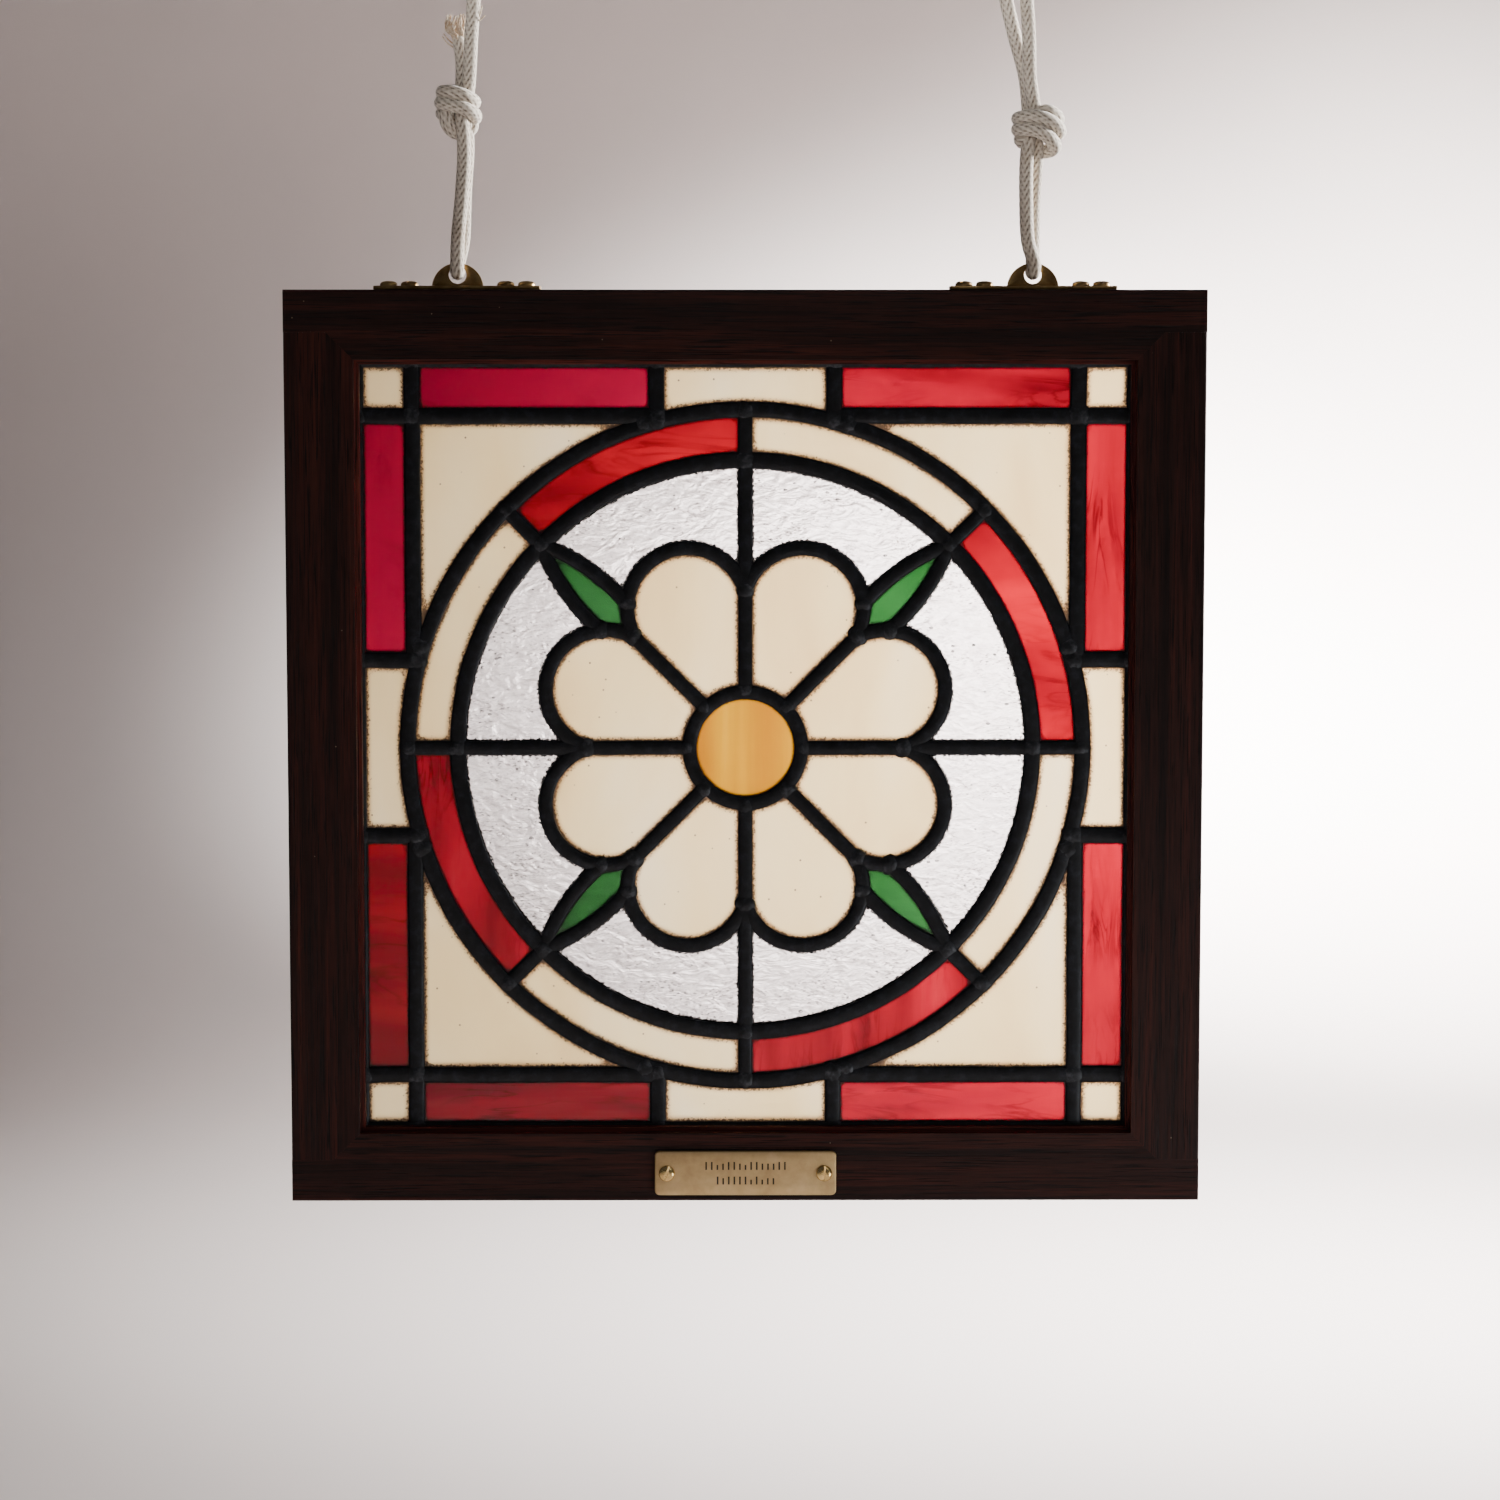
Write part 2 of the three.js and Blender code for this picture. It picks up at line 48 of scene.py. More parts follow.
# Camera
# It stands a little above the panel, as in the photograph, and looks down on it by under six degrees.
PANEL_Z = -319.5
camera = bpy.data.objects.new("camera", bpy.data.cameras.new("camera"))
camera.data.lens = 100.1
camera.location = (-6.1 * MM, -1.62, (PANEL_Z + 160.5) * MM)
camera.rotation_euler = (math.radians(90 - 5.695), 0, math.radians(-0.28))
bpy.context.scene.collection.objects.link(camera)
bpy.context.scene.camera = camera


# Cords
# Two lengths of undyed braided cotton, 5.6 mm thick. Each is doubled through its brass tab and tied above it.
# The left one is a loop closed by a fat sliding knot, with a short frayed tail. The right one is a tied ring.
CORD = 5.6
HANGER_X = 111.0
HOLE_Z = -136.3
CORD_STEP = 0.55
CORD_SIDES = 26
BRAID_PITCH = 17.0
BRAID_STRANDS = 5
BRAID_RELIEF = 0.34
END_RINGS = 4
END_SHARE = 0.8
CURVE_SAMPLES = 24
WRAP_STEPS = 22
WRAP_SWELL = 0.1


def linear(hexed):
    """The linear colour of an sRGB hex value."""
    parts = [int(hexed[i:i + 2], 16) / 255 for i in (1, 3, 5)]
    return [p / 12.92 if p <= 0.04045 else ((p + 0.055) / 1.055) ** 2.4 for p in parts] + [1.0]


def add(tree, kind, inputs=(), stops=(), **settings):
    """Adds a shader node with its settings, and gives each input a value or a link."""
    made = tree.nodes.new("ShaderNode" + kind)
    for name, value in settings.items():
        setattr(made, name, value)
    for name, value in dict(inputs).items():
        if isinstance(value, bpy.types.NodeSocket):
            tree.links.new(value, made.inputs[name])
        else:
            made.inputs[name].default_value = value
    for i, (place, colour) in enumerate(stops):
        steps = made.color_ramp.elements
        step = steps[i] if i < 2 else steps.new(place)
        step.position, step.color = place, linear(colour)
    return made


def streaks(tree, at, scale, turn=0.0, detail=4.0, bend=0.0, rough=0.5):
    """Noise drawn out along one direction, as yarn, grain, brushing and the colour of rolled glass are."""
    turned = (0, math.radians(turn), 0)
    drawn = add(tree, "Mapping", {"Vector": at, "Scale": scale, "Rotation": turned}).outputs[0]
    return add(tree, "TexNoise", {"Vector": drawn, "Scale": 1.0, "Detail": detail, "Roughness": rough,
                                  "Distortion": bend}).outputs[0]


def finish(name, **values):
    """A material with one Principled shader, and that shader's plain values."""
    made = bpy.data.materials.new(name)
    made.use_nodes = True
    shader = made.node_tree.nodes["Principled BSDF"]
    for socket, value in values.items():
        shader.inputs[socket.replace("_", " ")].default_value = value
    return made, made.node_tree, shader


def piece(name, mesh, material, slot, *nodes):
    """Links a finished mesh as one piece that rides with the part and stands for its CAD nodes."""
    made = bpy.data.objects.new(name, mesh)
    bpy.context.scene.collection.objects.link(made)
    for each in material if isinstance(material, (list, tuple)) else [material]:
        mesh.materials.append(each)
    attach(made, "root")
    if nodes:
        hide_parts(*nodes)
    return made


def mesh_from(bm, name, smooth=True):
    """Closes a bmesh into a mesh."""
    made = bpy.data.meshes.new(name)
    bm.to_mesh(made)
    bm.free()
    if smooth:
        made.shade_smooth()
    return made


# Braided cotton: matt, pale yarn ends over gaps darkened with painted shade. The yarns cross at about 3.4 mm
# along the cord.
# The weave follows the tube's own UV map, u round the cord and v along it in millimetres.
cotton, tree, shader = finish("braided_cotton", Roughness=0.92, Sheen_Weight=0.35, Sheen_Roughness=0.5)
uv = add(tree, "UVMap", uv_map="cord").outputs["UV"]
fibres = streaks(tree, uv, (60, 1.6, 1), rough=0.65)
crown = add(tree, "Attribute", attribute_name="crown").outputs["Fac"]
at = add(tree, "TexCoord").outputs["Object"]
stain = add(tree, "TexNoise", {"Vector": at, "Scale": 90.0, "Detail": 3.0}).outputs[0]
height = add(tree, "Math", {0: crown, 1: fibres}, operation="MULTIPLY")
# Painted shade: the colour runs from pale on the yarns' crowns to dark down in the gaps between them.
weave_and_gap_shade = add(tree, "ValToRGB", {"Fac": height.outputs[0]},
            stops=[(0.06, "#3f352d"), (0.6, "#f0e6d8"), (0.22, "#8f8172"), (0.4, "#d6cab9")])
age = add(tree, "MapRange", {"Value": stain, "From Min": 0.5, "From Max": 0.75, "To Max": 0.35}).outputs[0]
aged = add(tree, "MixRGB", {"Fac": age, "Color1": weave_and_gap_shade.outputs[0], "Color2": linear("#b59a7c")},
           blend_type="MULTIPLY")
tree.links.new(aged.outputs[0], shader.inputs["Base Color"])
lump = add(tree, "Bump", {"Height": fibres, "Strength": 0.5, "Distance": 0.0004})
tree.links.new(lump.outputs[0], shader.inputs["Normal"])


def smooth_path(points, step):
    """Evenly stepped points on a centripetal Catmull-Rom curve through the points given."""
    points = [Vector(p) for p in points]
    ends = [points[0] * 2 - points[1], *points, points[-1] * 2 - points[-2]]
    dense = [points[0]]
    for a, b, c, d in zip(ends, ends[1:], ends[2:], ends[3:]):
        t1 = (b - a).length ** 0.5
        t2 = t1 + (c - b).length ** 0.5
        t3 = t2 + (d - c).length ** 0.5
        for k in range(1, CURVE_SAMPLES + 1):
            t = t1 + (t2 - t1) * k / CURVE_SAMPLES
            ab = a * ((t1 - t) / t1) + b * (t / t1)
            bc = b * ((t2 - t) / (t2 - t1)) + c * ((t - t1) / (t2 - t1))
            cd = c * ((t3 - t) / (t3 - t2)) + d * ((t - t2) / (t3 - t2))
            abc = ab * ((t2 - t) / t2) + bc * (t / t2)
            bcd = bc * ((t3 - t) / (t3 - t1)) + cd * ((t - t1) / (t3 - t1))
            dense.append(abc * ((t2 - t) / (t2 - t1)) + bcd * ((t - t1) / (t2 - t1)))
    total = sum((b - a).length for a, b in zip(dense, dense[1:]))
    count = max(2, round(total / step))
    made, travelled, wanted = [dense[0]], 0.0, 1
    for a, b in zip(dense, dense[1:]):
        span = (b - a).length
        while wanted <= count and travelled + span >= total * wanted / count - 1e-9:
            share = (total * wanted / count - travelled) / span if span else 0
            made.append(a.lerp(b, min(share, 1)))
            wanted += 1
        travelled += span
    return made


def braid_height(turn, along):
    """How high the yarn stands at a place on a round braid, from 0 in a gap to 1. Two sets of yarns cross."""
    lean = 2 * math.pi * along / BRAID_PITCH * BRAID_STRANDS / 2
    up, down = BRAID_STRANDS * turn + lean, BRAID_STRANDS * turn - lean
    over = 0.5 + 0.5 * math.cos(up + down)
    left, right = abs(math.cos(up)), abs(math.cos(down))
    return max(left * (0.55 + 0.45 * over), right * (1.0 - 0.45 * over))


def cord_tube(bm, path):
    """A closed braided tube along a path in millimetres, with its weave raised in the mesh."""
    uv_layer = bm.loops.layers.uv.verify()
    crown_layer = bm.verts.layers.float.get("crown") or bm.verts.layers.float.new("crown")
    side = Vector((0.0, 1.0, 0.0))
    rings, along, lengths = [], 0.0, []
    for i, point in enumerate(path):
        ahead = path[min(i + 1, len(path) - 1)] - path[max(i - 1, 0)]
        ahead.normalize()
        side = (side - ahead * side.dot(ahead)).normalized()
        other = ahead.cross(side)
        if i:
            along += (point - path[i - 1]).length
        lengths.append(along)
        ring = []
        rounding = min(1.0, END_SHARE + (1 - END_SHARE) * min(i, len(path) - 1 - i) / END_RINGS)
        for k in range(CORD_SIDES):
            turn = 2 * math.pi * k / CORD_SIDES
            crown_here = braid_height(turn, along)
            radius = (CORD / 2 - BRAID_RELIEF * (1 - crown_here)) * rounding
            v = bm.verts.new((point + (side * math.cos(turn) + other * math.sin(turn)) * radius) * MM)
            v[crown_layer] = crown_here
            ring.append(v)
        rings.append(ring)
    for i in range(len(rings) - 1):
        for k in range(CORD_SIDES):
            corners = [(i, k), (i, k + 1), (i + 1, k + 1), (i + 1, k)]
            face = bm.faces.new([rings[r][s % CORD_SIDES] for r, s in corners])
            for loop, (r, s) in zip(face.loops, corners):
                loop[uv_layer].uv = (s / CORD_SIDES, lengths[r])
    bm.faces.new(rings[0][::-1])
    bm.faces.new(rings[-1])


def placed(points, sign):
    """Points of a hanger's own frame, moved to where the hanger is."""
    return [Vector((x + sign * HANGER_X, y, z + HOLE_Z)) for x, y, z in points]


def tubes_piece(name, paths, *nodes):
    """One piece of braided cord along one or more paths."""
    bm = bmesh.new()
    for path in paths:
        cord_tube(bm, path)
    bmesh.ops.recalc_face_normals(bm, faces=bm.faces)
    return piece(name, mesh_from(bm, name), cotton, "cotton_cord", *nodes)


def wrapped(centre, radius, tilt, turns, pitch, start, flat):
    """A coil of wraps round an upright axis, each pass tilted across it."""
    middle, made = Vector(centre), []
    count = round(turns * WRAP_STEPS)
    for i in range(count + 1):
        turn = math.radians(start) + 2 * math.pi * turns * i / count
        rise = pitch * turns * (i / count - 0.5)
        swell = 1 - WRAP_SWELL * abs(2 * i / count - 1) ** 2
        x, y = radius * swell * math.cos(turn), radius * flat * swell * math.sin(turn)
        made.append(middle + Vector((x, y, rise + tilt * x)))
    return made


# Each cord's two ends of the bight that passes through the tab's hole.
BIGHT_BACK = [(0, 1.3, 0), (0, 3.3, 1.2), (0.1, 3.9, 4.2)]
BIGHT_FRONT = [(0, -1.3, 0), (0, -3.3, 1.2), (0.1, -3.9, 4.2)]

# The left cord: up the back strand, through the knot, and on to the eye that hangs on its hook.
left_main_route = [*BIGHT_BACK, (2, 3.4, 13.5), (2.7, 3, 30), (3.9, 2.9, 48), (3.8, 1, 56), (3.4, -1, 62),
                   (4.9, -1.4, 74), (5.9, -1.2, 91), (6.8, -0.6, 106), (5.6, 0, 114.5), (1.2, 0, 119.5),
                   (0, 0, 126.5), (2.4, 0, 131.6), (7, 0, 133.5), (11.6, 0, 131.6), (14, 0, 126.5),
                   (12.8, 0, 119.5), (9.0, 0, 115)]
left_path = smooth_path(placed(left_main_route, -1), CORD_STEP)
left_cord = tubes_piece("left_cord", [left_path], "cord_left")
left_tail_route = [*BIGHT_FRONT, (0.4, -3.4, 13.5), (2, -3, 30), (3, -3.2, 46), (2.8, -4, 54), (2.2, -3, 60),
                   (1.6, 1.4, 65), (2.1, 3.2, 73), (2.2, 3.9, 80), (1.6, 4.2, 86), (0.5, 4.6, 91)]
left_tail_path = smooth_path(placed(left_tail_route, -1), CORD_STEP)
left_tail = tubes_piece("left_cord_tail", [left_tail_path])

# Its knots are wraps of the same cord.
left_knot_route = [
    (-1, 1.5, 70.5), (-4.8, 1.2, 69.8), (-4.9, -2.6, 69.6), (-1.6, -5.8, 69.4), (2.8, -5.9, 68.3),
    (6.2, -2.7, 66.6), (6.4, 2, 65.8), (2, 5.6, 66.2), (-3.4, 4.6, 66.4), (-5.8, 0.6, 65.9),
    (-4.6, -4.4, 65.2), (-0.2, -6.7, 64.4), (4.6, -5.6, 62.8), (7.1, -1.2, 61), (6, 3.8, 59.8),
    (1.2, 5.6, 60), (-3.8, 4.2, 60.8),
    (-5.4, 0, 61.6), (-4.2, -3.6, 60.8), (-3.1, -4.1, 57.3), (-0.9, -2.2, 54.7), (2.4, 1.4, 54.4),
    (5.3, 2.2, 56.2), (6.2, 1.4, 59.4)]
left_eye_route = wrapped((7, 0, 116), 4.3, tilt=0.2, turns=2.1, pitch=4.8, start=40, flat=0.95)
left_knot, left_eye_knot = (
    tubes_piece(name, [smooth_path(placed(route, -1), CORD_STEP)])
    for name, route in (("left_sliding_knot", left_knot_route), ("left_eye_knot", left_eye_route)))

# The tail's cut end frays into loose yarns, and a few more stand off the cord.
YARN = 0.72
YARN_COUNT = 72
YARN_STEP = 1.4
YARN_TAPER = 0.45
rng = random.Random(11)
bm = bmesh.new()
yarn_ends = []
for i in range(YARN_COUNT):
    turn = rng.uniform(0, 2 * math.pi)
    reach = rng.uniform(0.3, 1) ** 0.5
    x, y = 2.1 * reach * math.cos(turn), 2.1 * reach * math.sin(turn)
    long = rng.uniform(5, 11)
    yarn_ends.append([(0.8 + x, 4.5 + y, 89), (0.3 + 1.3 * x, 4.6 + 1.15 * y, 92),
                      (-0.9 + 1.85 * x, 4.4 + 1.35 * y, 89 + long * 0.7),
                      (-0.7 + 1.7 * x + rng.uniform(-0.7, 0.9), 4.3 + 1.3 * y, 89 + long)])
yarn_ends += [[(-1, 4.2, 87), (-3.4, 3.8, 88.5), (-5.6, 3.2, 91.4)],
              [(-0.8, 4, 88), (-3.2, 3.2, 90), (-5, 3, 92.2)],
              [(8, -1.4, 97), (9.4, -1.6, 99), (10.2, -1.7, 102.4)],
              [(8.2, -1.4, 96), (9.8, -2, 97.4), (11.4, -2, 98.8)]]
for points in yarn_ends:
    strand = smooth_path(placed(points, -1), YARN_STEP)
    rings = []
    for i, point in enumerate(strand):
        ahead = (strand[min(i + 1, len(strand) - 1)] - strand[max(i - 1, 0)]).normalized()
        turned = ahead.to_track_quat("Z", "X").to_matrix().to_4x4()
        size = YARN / 2 * (1 - YARN_TAPER * i / len(strand)) * MM
        seat = Matrix.Translation(point * MM) @ turned
        ring = bmesh.ops.create_circle(bm, segments=6, radius=size, matrix=seat)
        rings.append(ring["verts"])
    for low, high in zip(rings, rings[1:]):
        edges = {e for v in low + high for e in v.link_edges}
        bmesh.ops.bridge_loops(bm, edges=[e for e in edges if all(v in low for v in e.verts)
                                          or all(v in high for v in e.verts)])
bmesh.ops.holes_fill(bm, edges=bm.edges, sides=6)
bmesh.ops.recalc_face_normals(bm, faces=bm.faces)

# Loose yarn: the same cotton without the braid, tanned at the cut end.
yarn_finish, tree, shader = finish("frayed_cotton_yarn", Roughness=0.95, Sheen_Weight=0.3)
at = add(tree, "TexCoord").outputs["Object"]
tuft = add(tree, "TexNoise", {"Vector": at, "Scale": 700.0, "Detail": 3.0})
tint = add(tree, "ValToRGB", {"Fac": tuft.outputs[0]}, stops=[(0.3, "#a8825c"), (0.7, "#eadcc6")])
tree.links.new(tint.outputs[0], shader.inputs["Base Color"])
frayed_end = piece("left_frayed_end", mesh_from(bm, "left_frayed_end"), yarn_finish, "cotton_cord")

# The right cord: up one strand, through the knot, over its hook and back down to the tab.
right_route = [*BIGHT_FRONT, (-2.2, -3.3, 13), (-3, -2.9, 30), (-2.9, -3.3, 44), (-2.3, -3.2, 50),
               (-1.8, 0.8, 57), (-3.2, 2.8, 75.6), (-7.4, 2, 91), (-11.2, 1, 106.4), (-13.2, 0.4, 118),
               (-12.6, 0, 126.5), (-7.6, 0, 133.5), (-2.8, 0, 127), (-2.4, -0.4, 118),
               (-3.1, -1, 106.4), (-2.2, -2, 91), (-1.8, -2.8, 75.6), (0.4, -1.4, 60),
               (1.3, 2.4, 45), (0.4, 2.9, 30), (0.2, 3.3, 13), *BIGHT_BACK[::-1]]
right_path = smooth_path(placed(right_route, 1), CORD_STEP)
right_cord = tubes_piece("right_cord", [right_path], "cord_right")
right_knot_route = [
    (1, -1.6, 61.2), (4.6, -3.6, 62.4), (8.4, -1.2, 60.8), (9, 2.6, 58.8), (4, 5.4, 58.6), (-2.6, 5, 59.2),
    (-5.9, 1.2, 59.6), (-5, -3.6, 59.9), (-0.9, -6.4, 60.4), (4.4, -6.3, 59.2), (8.5, -3.6, 56.8),
    (9.8, 0.6, 54.6), (6.4, 4.6, 53.8), (0, 5.9, 54.2), (-4.8, 3.8, 55.2), (-6, -0.4, 55.6),
    (-4.2, -4.8, 55.5), (-0.1, -6.9, 55.3), (4.2, -6, 53.4), (7.3, -2.8, 50.6), (7.9, 0.8, 48.6),
    (5, 3.6, 47.4), (0.5, 4.6, 48.6), (-3.4, 3.6, 50.6), (-5, 0.2, 51.6), (-4, -2.4, 51.2),
    (-1.6, -1.2, 51.4)]
right_knot = tubes_piece("right_knot", [smooth_path(placed(right_knot_route, 1), CORD_STEP)])


# Stage
# A wide sheet of pale paper lies on the floor and sweeps up behind the panel. Soft lamps light it. The
# strongest is behind the panel on the right, so the glass is lit from the back and the front stays dark.
FLOOR_Z = -0.86
FLOOR_FRONT = -3.4
SHEET_HALF = 4
SHEET_TOP = 3.4
SWEEP_RADIUS = 1.0
SWEEP_START = 2.2
bm = bmesh.new()
profile = [(FLOOR_FRONT, 0), (0, 0), (SWEEP_START, 0)]
profile += [(SWEEP_START + SWEEP_RADIUS * math.sin(a), SWEEP_RADIUS * (1 - math.cos(a)))
            for a in (math.radians(9 * k) for k in range(1, 11))]
profile.append((SWEEP_START + SWEEP_RADIUS, SHEET_TOP))
line = [bm.verts.new((-SHEET_HALF, y, FLOOR_Z + z)) for y, z in profile]
edges = [bm.edges.new(pair) for pair in zip(line, line[1:])]
sheet = bmesh.ops.extrude_edge_only(bm, edges=edges)
far_side = [g for g in sheet["geom"] if isinstance(g, bmesh.types.BMVert)]
bmesh.ops.translate(bm, vec=(2 * SHEET_HALF, 0, 0), verts=far_side)
bmesh.ops.recalc_face_normals(bm, faces=bm.faces)
floor = bpy.data.objects.new("pale_floor", mesh_from(bm, "pale_floor"))
bpy.context.scene.collection.objects.link(floor)
paper, tree, shader = finish("pale_paper", Roughness=0.9, Base_Color=linear("#e6dad5"))
floor.data.materials.append(paper)

world = bpy.data.worlds.new("studio")
world.use_nodes = True
world.node_tree.nodes["Background"].inputs["Color"].default_value = linear("#e8e6ea")
world.node_tree.nodes["Background"].inputs["Strength"].default_value = 0.12
bpy.context.scene.world = world


def lamp(name, place, target, size, watts, spread=180):
    made = bpy.data.objects.new(name, bpy.data.lights.new(name, "AREA"))
    made.data.shape, made.data.size, made.data.energy = "DISK", size, watts
    made.data.spread = math.radians(spread)
    made.location = place
    made.rotation_euler = (Vector(target) - Vector(place)).to_track_quat("-Z", "Y").to_euler()
    bpy.context.scene.collection.objects.link(made)


PANEL = (0, 0, PANEL_Z * MM)
lamp("sweep_right", (1.2, 1.6, 1.2), (0.8, 2.9, -0.6), 0.5, 45, spread=45)
lamp("sweep_centre", (1.3, 1.3, 1.2), (0.45, 2.7, -0.7), 0.5, 8, spread=50)
lamp("glass_glow", (1.0, 1.2, 1.2), (0.2, 2.9, -0.55), 0.4, 18, spread=27)
lamp("floor_right", (1.05, 1.1, 0.9), (0.5, 1.4, -0.86), 0.6, 33, spread=58)
lamp("cord_light", (1.6, 0.7, 0.2), (0.05, 0, -0.1), 0.4, 28, spread=70)
lamp("cord_fill", (-0.5, -1.7, 0.55), (0, 0, 0.08), 0.15, 0.42, spread=11)
lamp("front_fill", (1.4, -2.2, 1.1), PANEL, 1.4, 4)
lamp("wood_fill", (0.6, -0.55, -0.7), (0.14, 0, -0.47), 0.25, 0.5, spread=80)
lamp("floor_front", (0.3, -1.3, 0.5), (0.0, -1.35, -0.86), 0.4, 4.5, spread=36)


# Lead net
# Milled lead cames, H-shaped in section, bent round the glass and soldered at every crossing on both faces.
# Patina makes the metal blue-black. The leaves are rounded, and the hand soldering leaves flat rough lumps.
EDGE_LINE = 150.75
GRID_LINE = 129.0
SIDE_LINE = 34.4
RING_OUTER = 131.5
RING_INNER = 112.0
DISC_RADIUS = 0.195 * RING_INNER
NOTCH_RADIUS = 0.545 * RING_INNER
PETAL_REACH = 0.735 * RING_INNER
SEPAL_BULGE = 2.6
SEPAL_FOOT_TURN = 33.0
BORDER_CAME = 6.2
INNER_CAME = 5.5
EDGE_CAME = 6.1
LEAF_FRONT = 3.0
LEAF_BACK = 1.8
LEAF_EDGE = 0.42
LEAF_CROWN = LEAF_FRONT - LEAF_BACK + 0.06
LEAF_LIP = 0.15
HEART = 1.8
LINE_STEP = 2.6
SOLDER_DOME = 1.55
SOLDER_TOP = LEAF_FRONT + 0.42


def polar(radius, degrees, centre=(0.0, 0.0)):
    angle = math.radians(degrees)
    return Vector((centre[0] + radius * math.cos(angle), centre[1] + radius * math.sin(angle)))


def arc(centre, radius, start, end):
    steps = max(2, math.ceil(abs(math.radians(end - start)) * radius / LINE_STEP))
    return [polar(radius, start + (end - start) * i / steps, centre) for i in range(steps + 1)]


def straight(start, end):
    start, end = Vector(start), Vector(end)
    steps = max(2, math.ceil((end - start).length / LINE_STEP))
    return [start.lerp(end, i / steps) for i in range(steps + 1)]


def bow(start, end, bulge):
    """The arc between two points that stands off its chord by the bulge, to the left."""
    half = (end - start) / 2
    radius = (half.length_squared + bulge ** 2) / (2 * bulge)
    centre = start + half + Vector((-half.y, half.x)).normalized() * (bulge - radius)
    first, last = (math.degrees(math.atan2(p.y - centre.y, p.x - centre.x)) for p in (start, end))
    return arc(centre, radius, first, first + (last - first + 180) % 360 - 180)


notch_half = NOTCH_RADIUS * math.sin(math.radians(22.5))
notch_base = NOTCH_RADIUS * math.cos(math.radians(22.5))
tip_bulge = PETAL_REACH - notch_base
tip_radius = (notch_half ** 2 + tip_bulge ** 2) / (2 * tip_bulge)
tip_centre = PETAL_REACH - tip_radius
tip_half_turn = math.degrees(math.atan2(notch_half, notch_base - tip_centre))
sepal_foot = tip_half_turn - SEPAL_FOOT_TURN


def sepal_side(axis, side):
    petal_axis = axis + side * 22.5
    foot = polar(tip_radius, petal_axis - side * sepal_foot, polar(tip_centre, petal_axis))
    top = polar(RING_INNER, axis)
    return bow(foot, top, SEPAL_BULGE) if side > 0 else bow(top, foot, SEPAL_BULGE)


def quarter(points, turn):
    spin = Matrix.Rotation(math.radians(turn), 2)
    return [spin @ Vector(p) for p in points]


ring_crossing = math.sqrt(RING_OUTER ** 2 - SIDE_LINE ** 2)
border_runs, inner_runs, edge_runs, joints = [], [], [], []
for turn in (0, 90, 180, 270):
    edge_runs.append(quarter(straight((EDGE_LINE, -EDGE_LINE), (EDGE_LINE, EDGE_LINE)), turn))
    joints += [(p, 4.5) for p in quarter([(GRID_LINE, GRID_LINE)], turn)]
    joints += [(p, 4.2) for p in quarter([(EDGE_LINE, EDGE_LINE)], turn)]
    for sign in (1, -1):
        side, end = sign * SIDE_LINE, sign * EDGE_LINE
        border_runs.append(quarter(straight((GRID_LINE, side), (GRID_LINE, end)), turn))
        border_runs.append(quarter(straight((ring_crossing, side), (EDGE_LINE, side)), turn))
        joints += [(p, 4.6) for p in quarter([(GRID_LINE - 1, side)], turn)]
        joints += [(p, 4.2) for p in quarter([(GRID_LINE - 2.6, sign * (SIDE_LINE + 5))], turn)]
        on_edge = [(EDGE_LINE - 0.6, sign * GRID_LINE), (EDGE_LINE - 0.6, side)]
        joints += [(p, 4.1) for p in quarter(on_edge, turn)]
    inner_runs.append(straight(polar(NOTCH_RADIUS, turn), polar(RING_INNER, turn)))
for k in range(8):
    axis = 45 * k
    inner_runs.append(straight(polar(RING_INNER, axis), polar(RING_OUTER, axis)))
    inner_runs.append(straight(polar(DISC_RADIUS, axis), polar(NOTCH_RADIUS, axis)))
    inner_runs.append(arc(polar(tip_centre, axis + 22.5), tip_radius, axis + 22.5 - tip_half_turn,
                          axis + 22.5 + tip_half_turn))
    joints += [(polar(radius, axis), size) for radius, size in (
        (RING_OUTER - 0.5, 3.9), (RING_INNER, 4.0), (DISC_RADIUS + 0.9, 3.5), (NOTCH_RADIUS + 0.6, 4.1))]
for axis in (45, 135, 225, 315):
    for side in (1, -1):
        inner_runs.append(sepal_side(axis, side))
        joints.append((inner_runs[-1][0 if side > 0 else -1], 3.7))
rings = [arc((0, 0), radius, 0, 360)[:-1] for radius in (RING_OUTER, RING_INNER)]
disc = arc((0, 0), DISC_RADIUS, 0, 360)[:-1]


def came_section(name, width):
    """The H of a came as a closed curve: two leaves, domed outside, and the heart between them."""
    half, heart = width / 2, HEART / 2
    dome = [(half * math.cos(a), LEAF_BACK + LEAF_EDGE + (LEAF_CROWN - LEAF_EDGE) * math.sin(a) ** 0.8)
            for a in (math.radians(d) for d in (0, 22, 48, 72, 90, 108, 132, 158, 180))]
    lip = half - LEAF_LIP
    front = [(heart, LEAF_BACK), (lip, LEAF_BACK), *dome, (-lip, LEAF_BACK), (-heart, LEAF_BACK)]
    outline = front + [(-x, -y) for x, y in front]
    section = bpy.data.objects.new(name, bpy.data.curves.new(name, "CURVE"))
    section.data.dimensions = "2D"
    spline = section.data.splines.new("POLY")
    spline.points.add(len(outline) - 1)
    for point, (x, y) in zip(spline.points, outline):
        point.co = (x, y, 0, 1)
    spline.use_cyclic_u = True
    return section


def came_mesh(name, width, runs, closed=()):
    """Cames of one width swept along their lines, in the panel's plane, in millimetres."""
    curve = bpy.data.curves.new(name, "CURVE")
    curve.dimensions, curve.fill_mode, curve.bevel_mode = "2D", "NONE", "OBJECT"
    curve.bevel_object = came_section(name + "_section", width)
    curve.use_fill_caps = True
    for line, cyclic in [*((r, False) for r in runs), *((c, True) for c in closed)]:
        spline = curve.splines.new("POLY")
        spline.points.add(len(line) - 1)
        for point, p in zip(spline.points, line):
            point.co = (p.x, p.y, 0, 1)
        spline.use_cyclic_u = cyclic
    swept = bpy.data.objects.new(name, curve)
    bpy.context.scene.collection.objects.link(swept)
    made = bpy.data.meshes.new_from_object(swept.evaluated_get(bpy.context.evaluated_depsgraph_get()))
    section = curve.bevel_object
    bpy.data.objects.remove(swept)
    bpy.data.objects.remove(section)
    return made


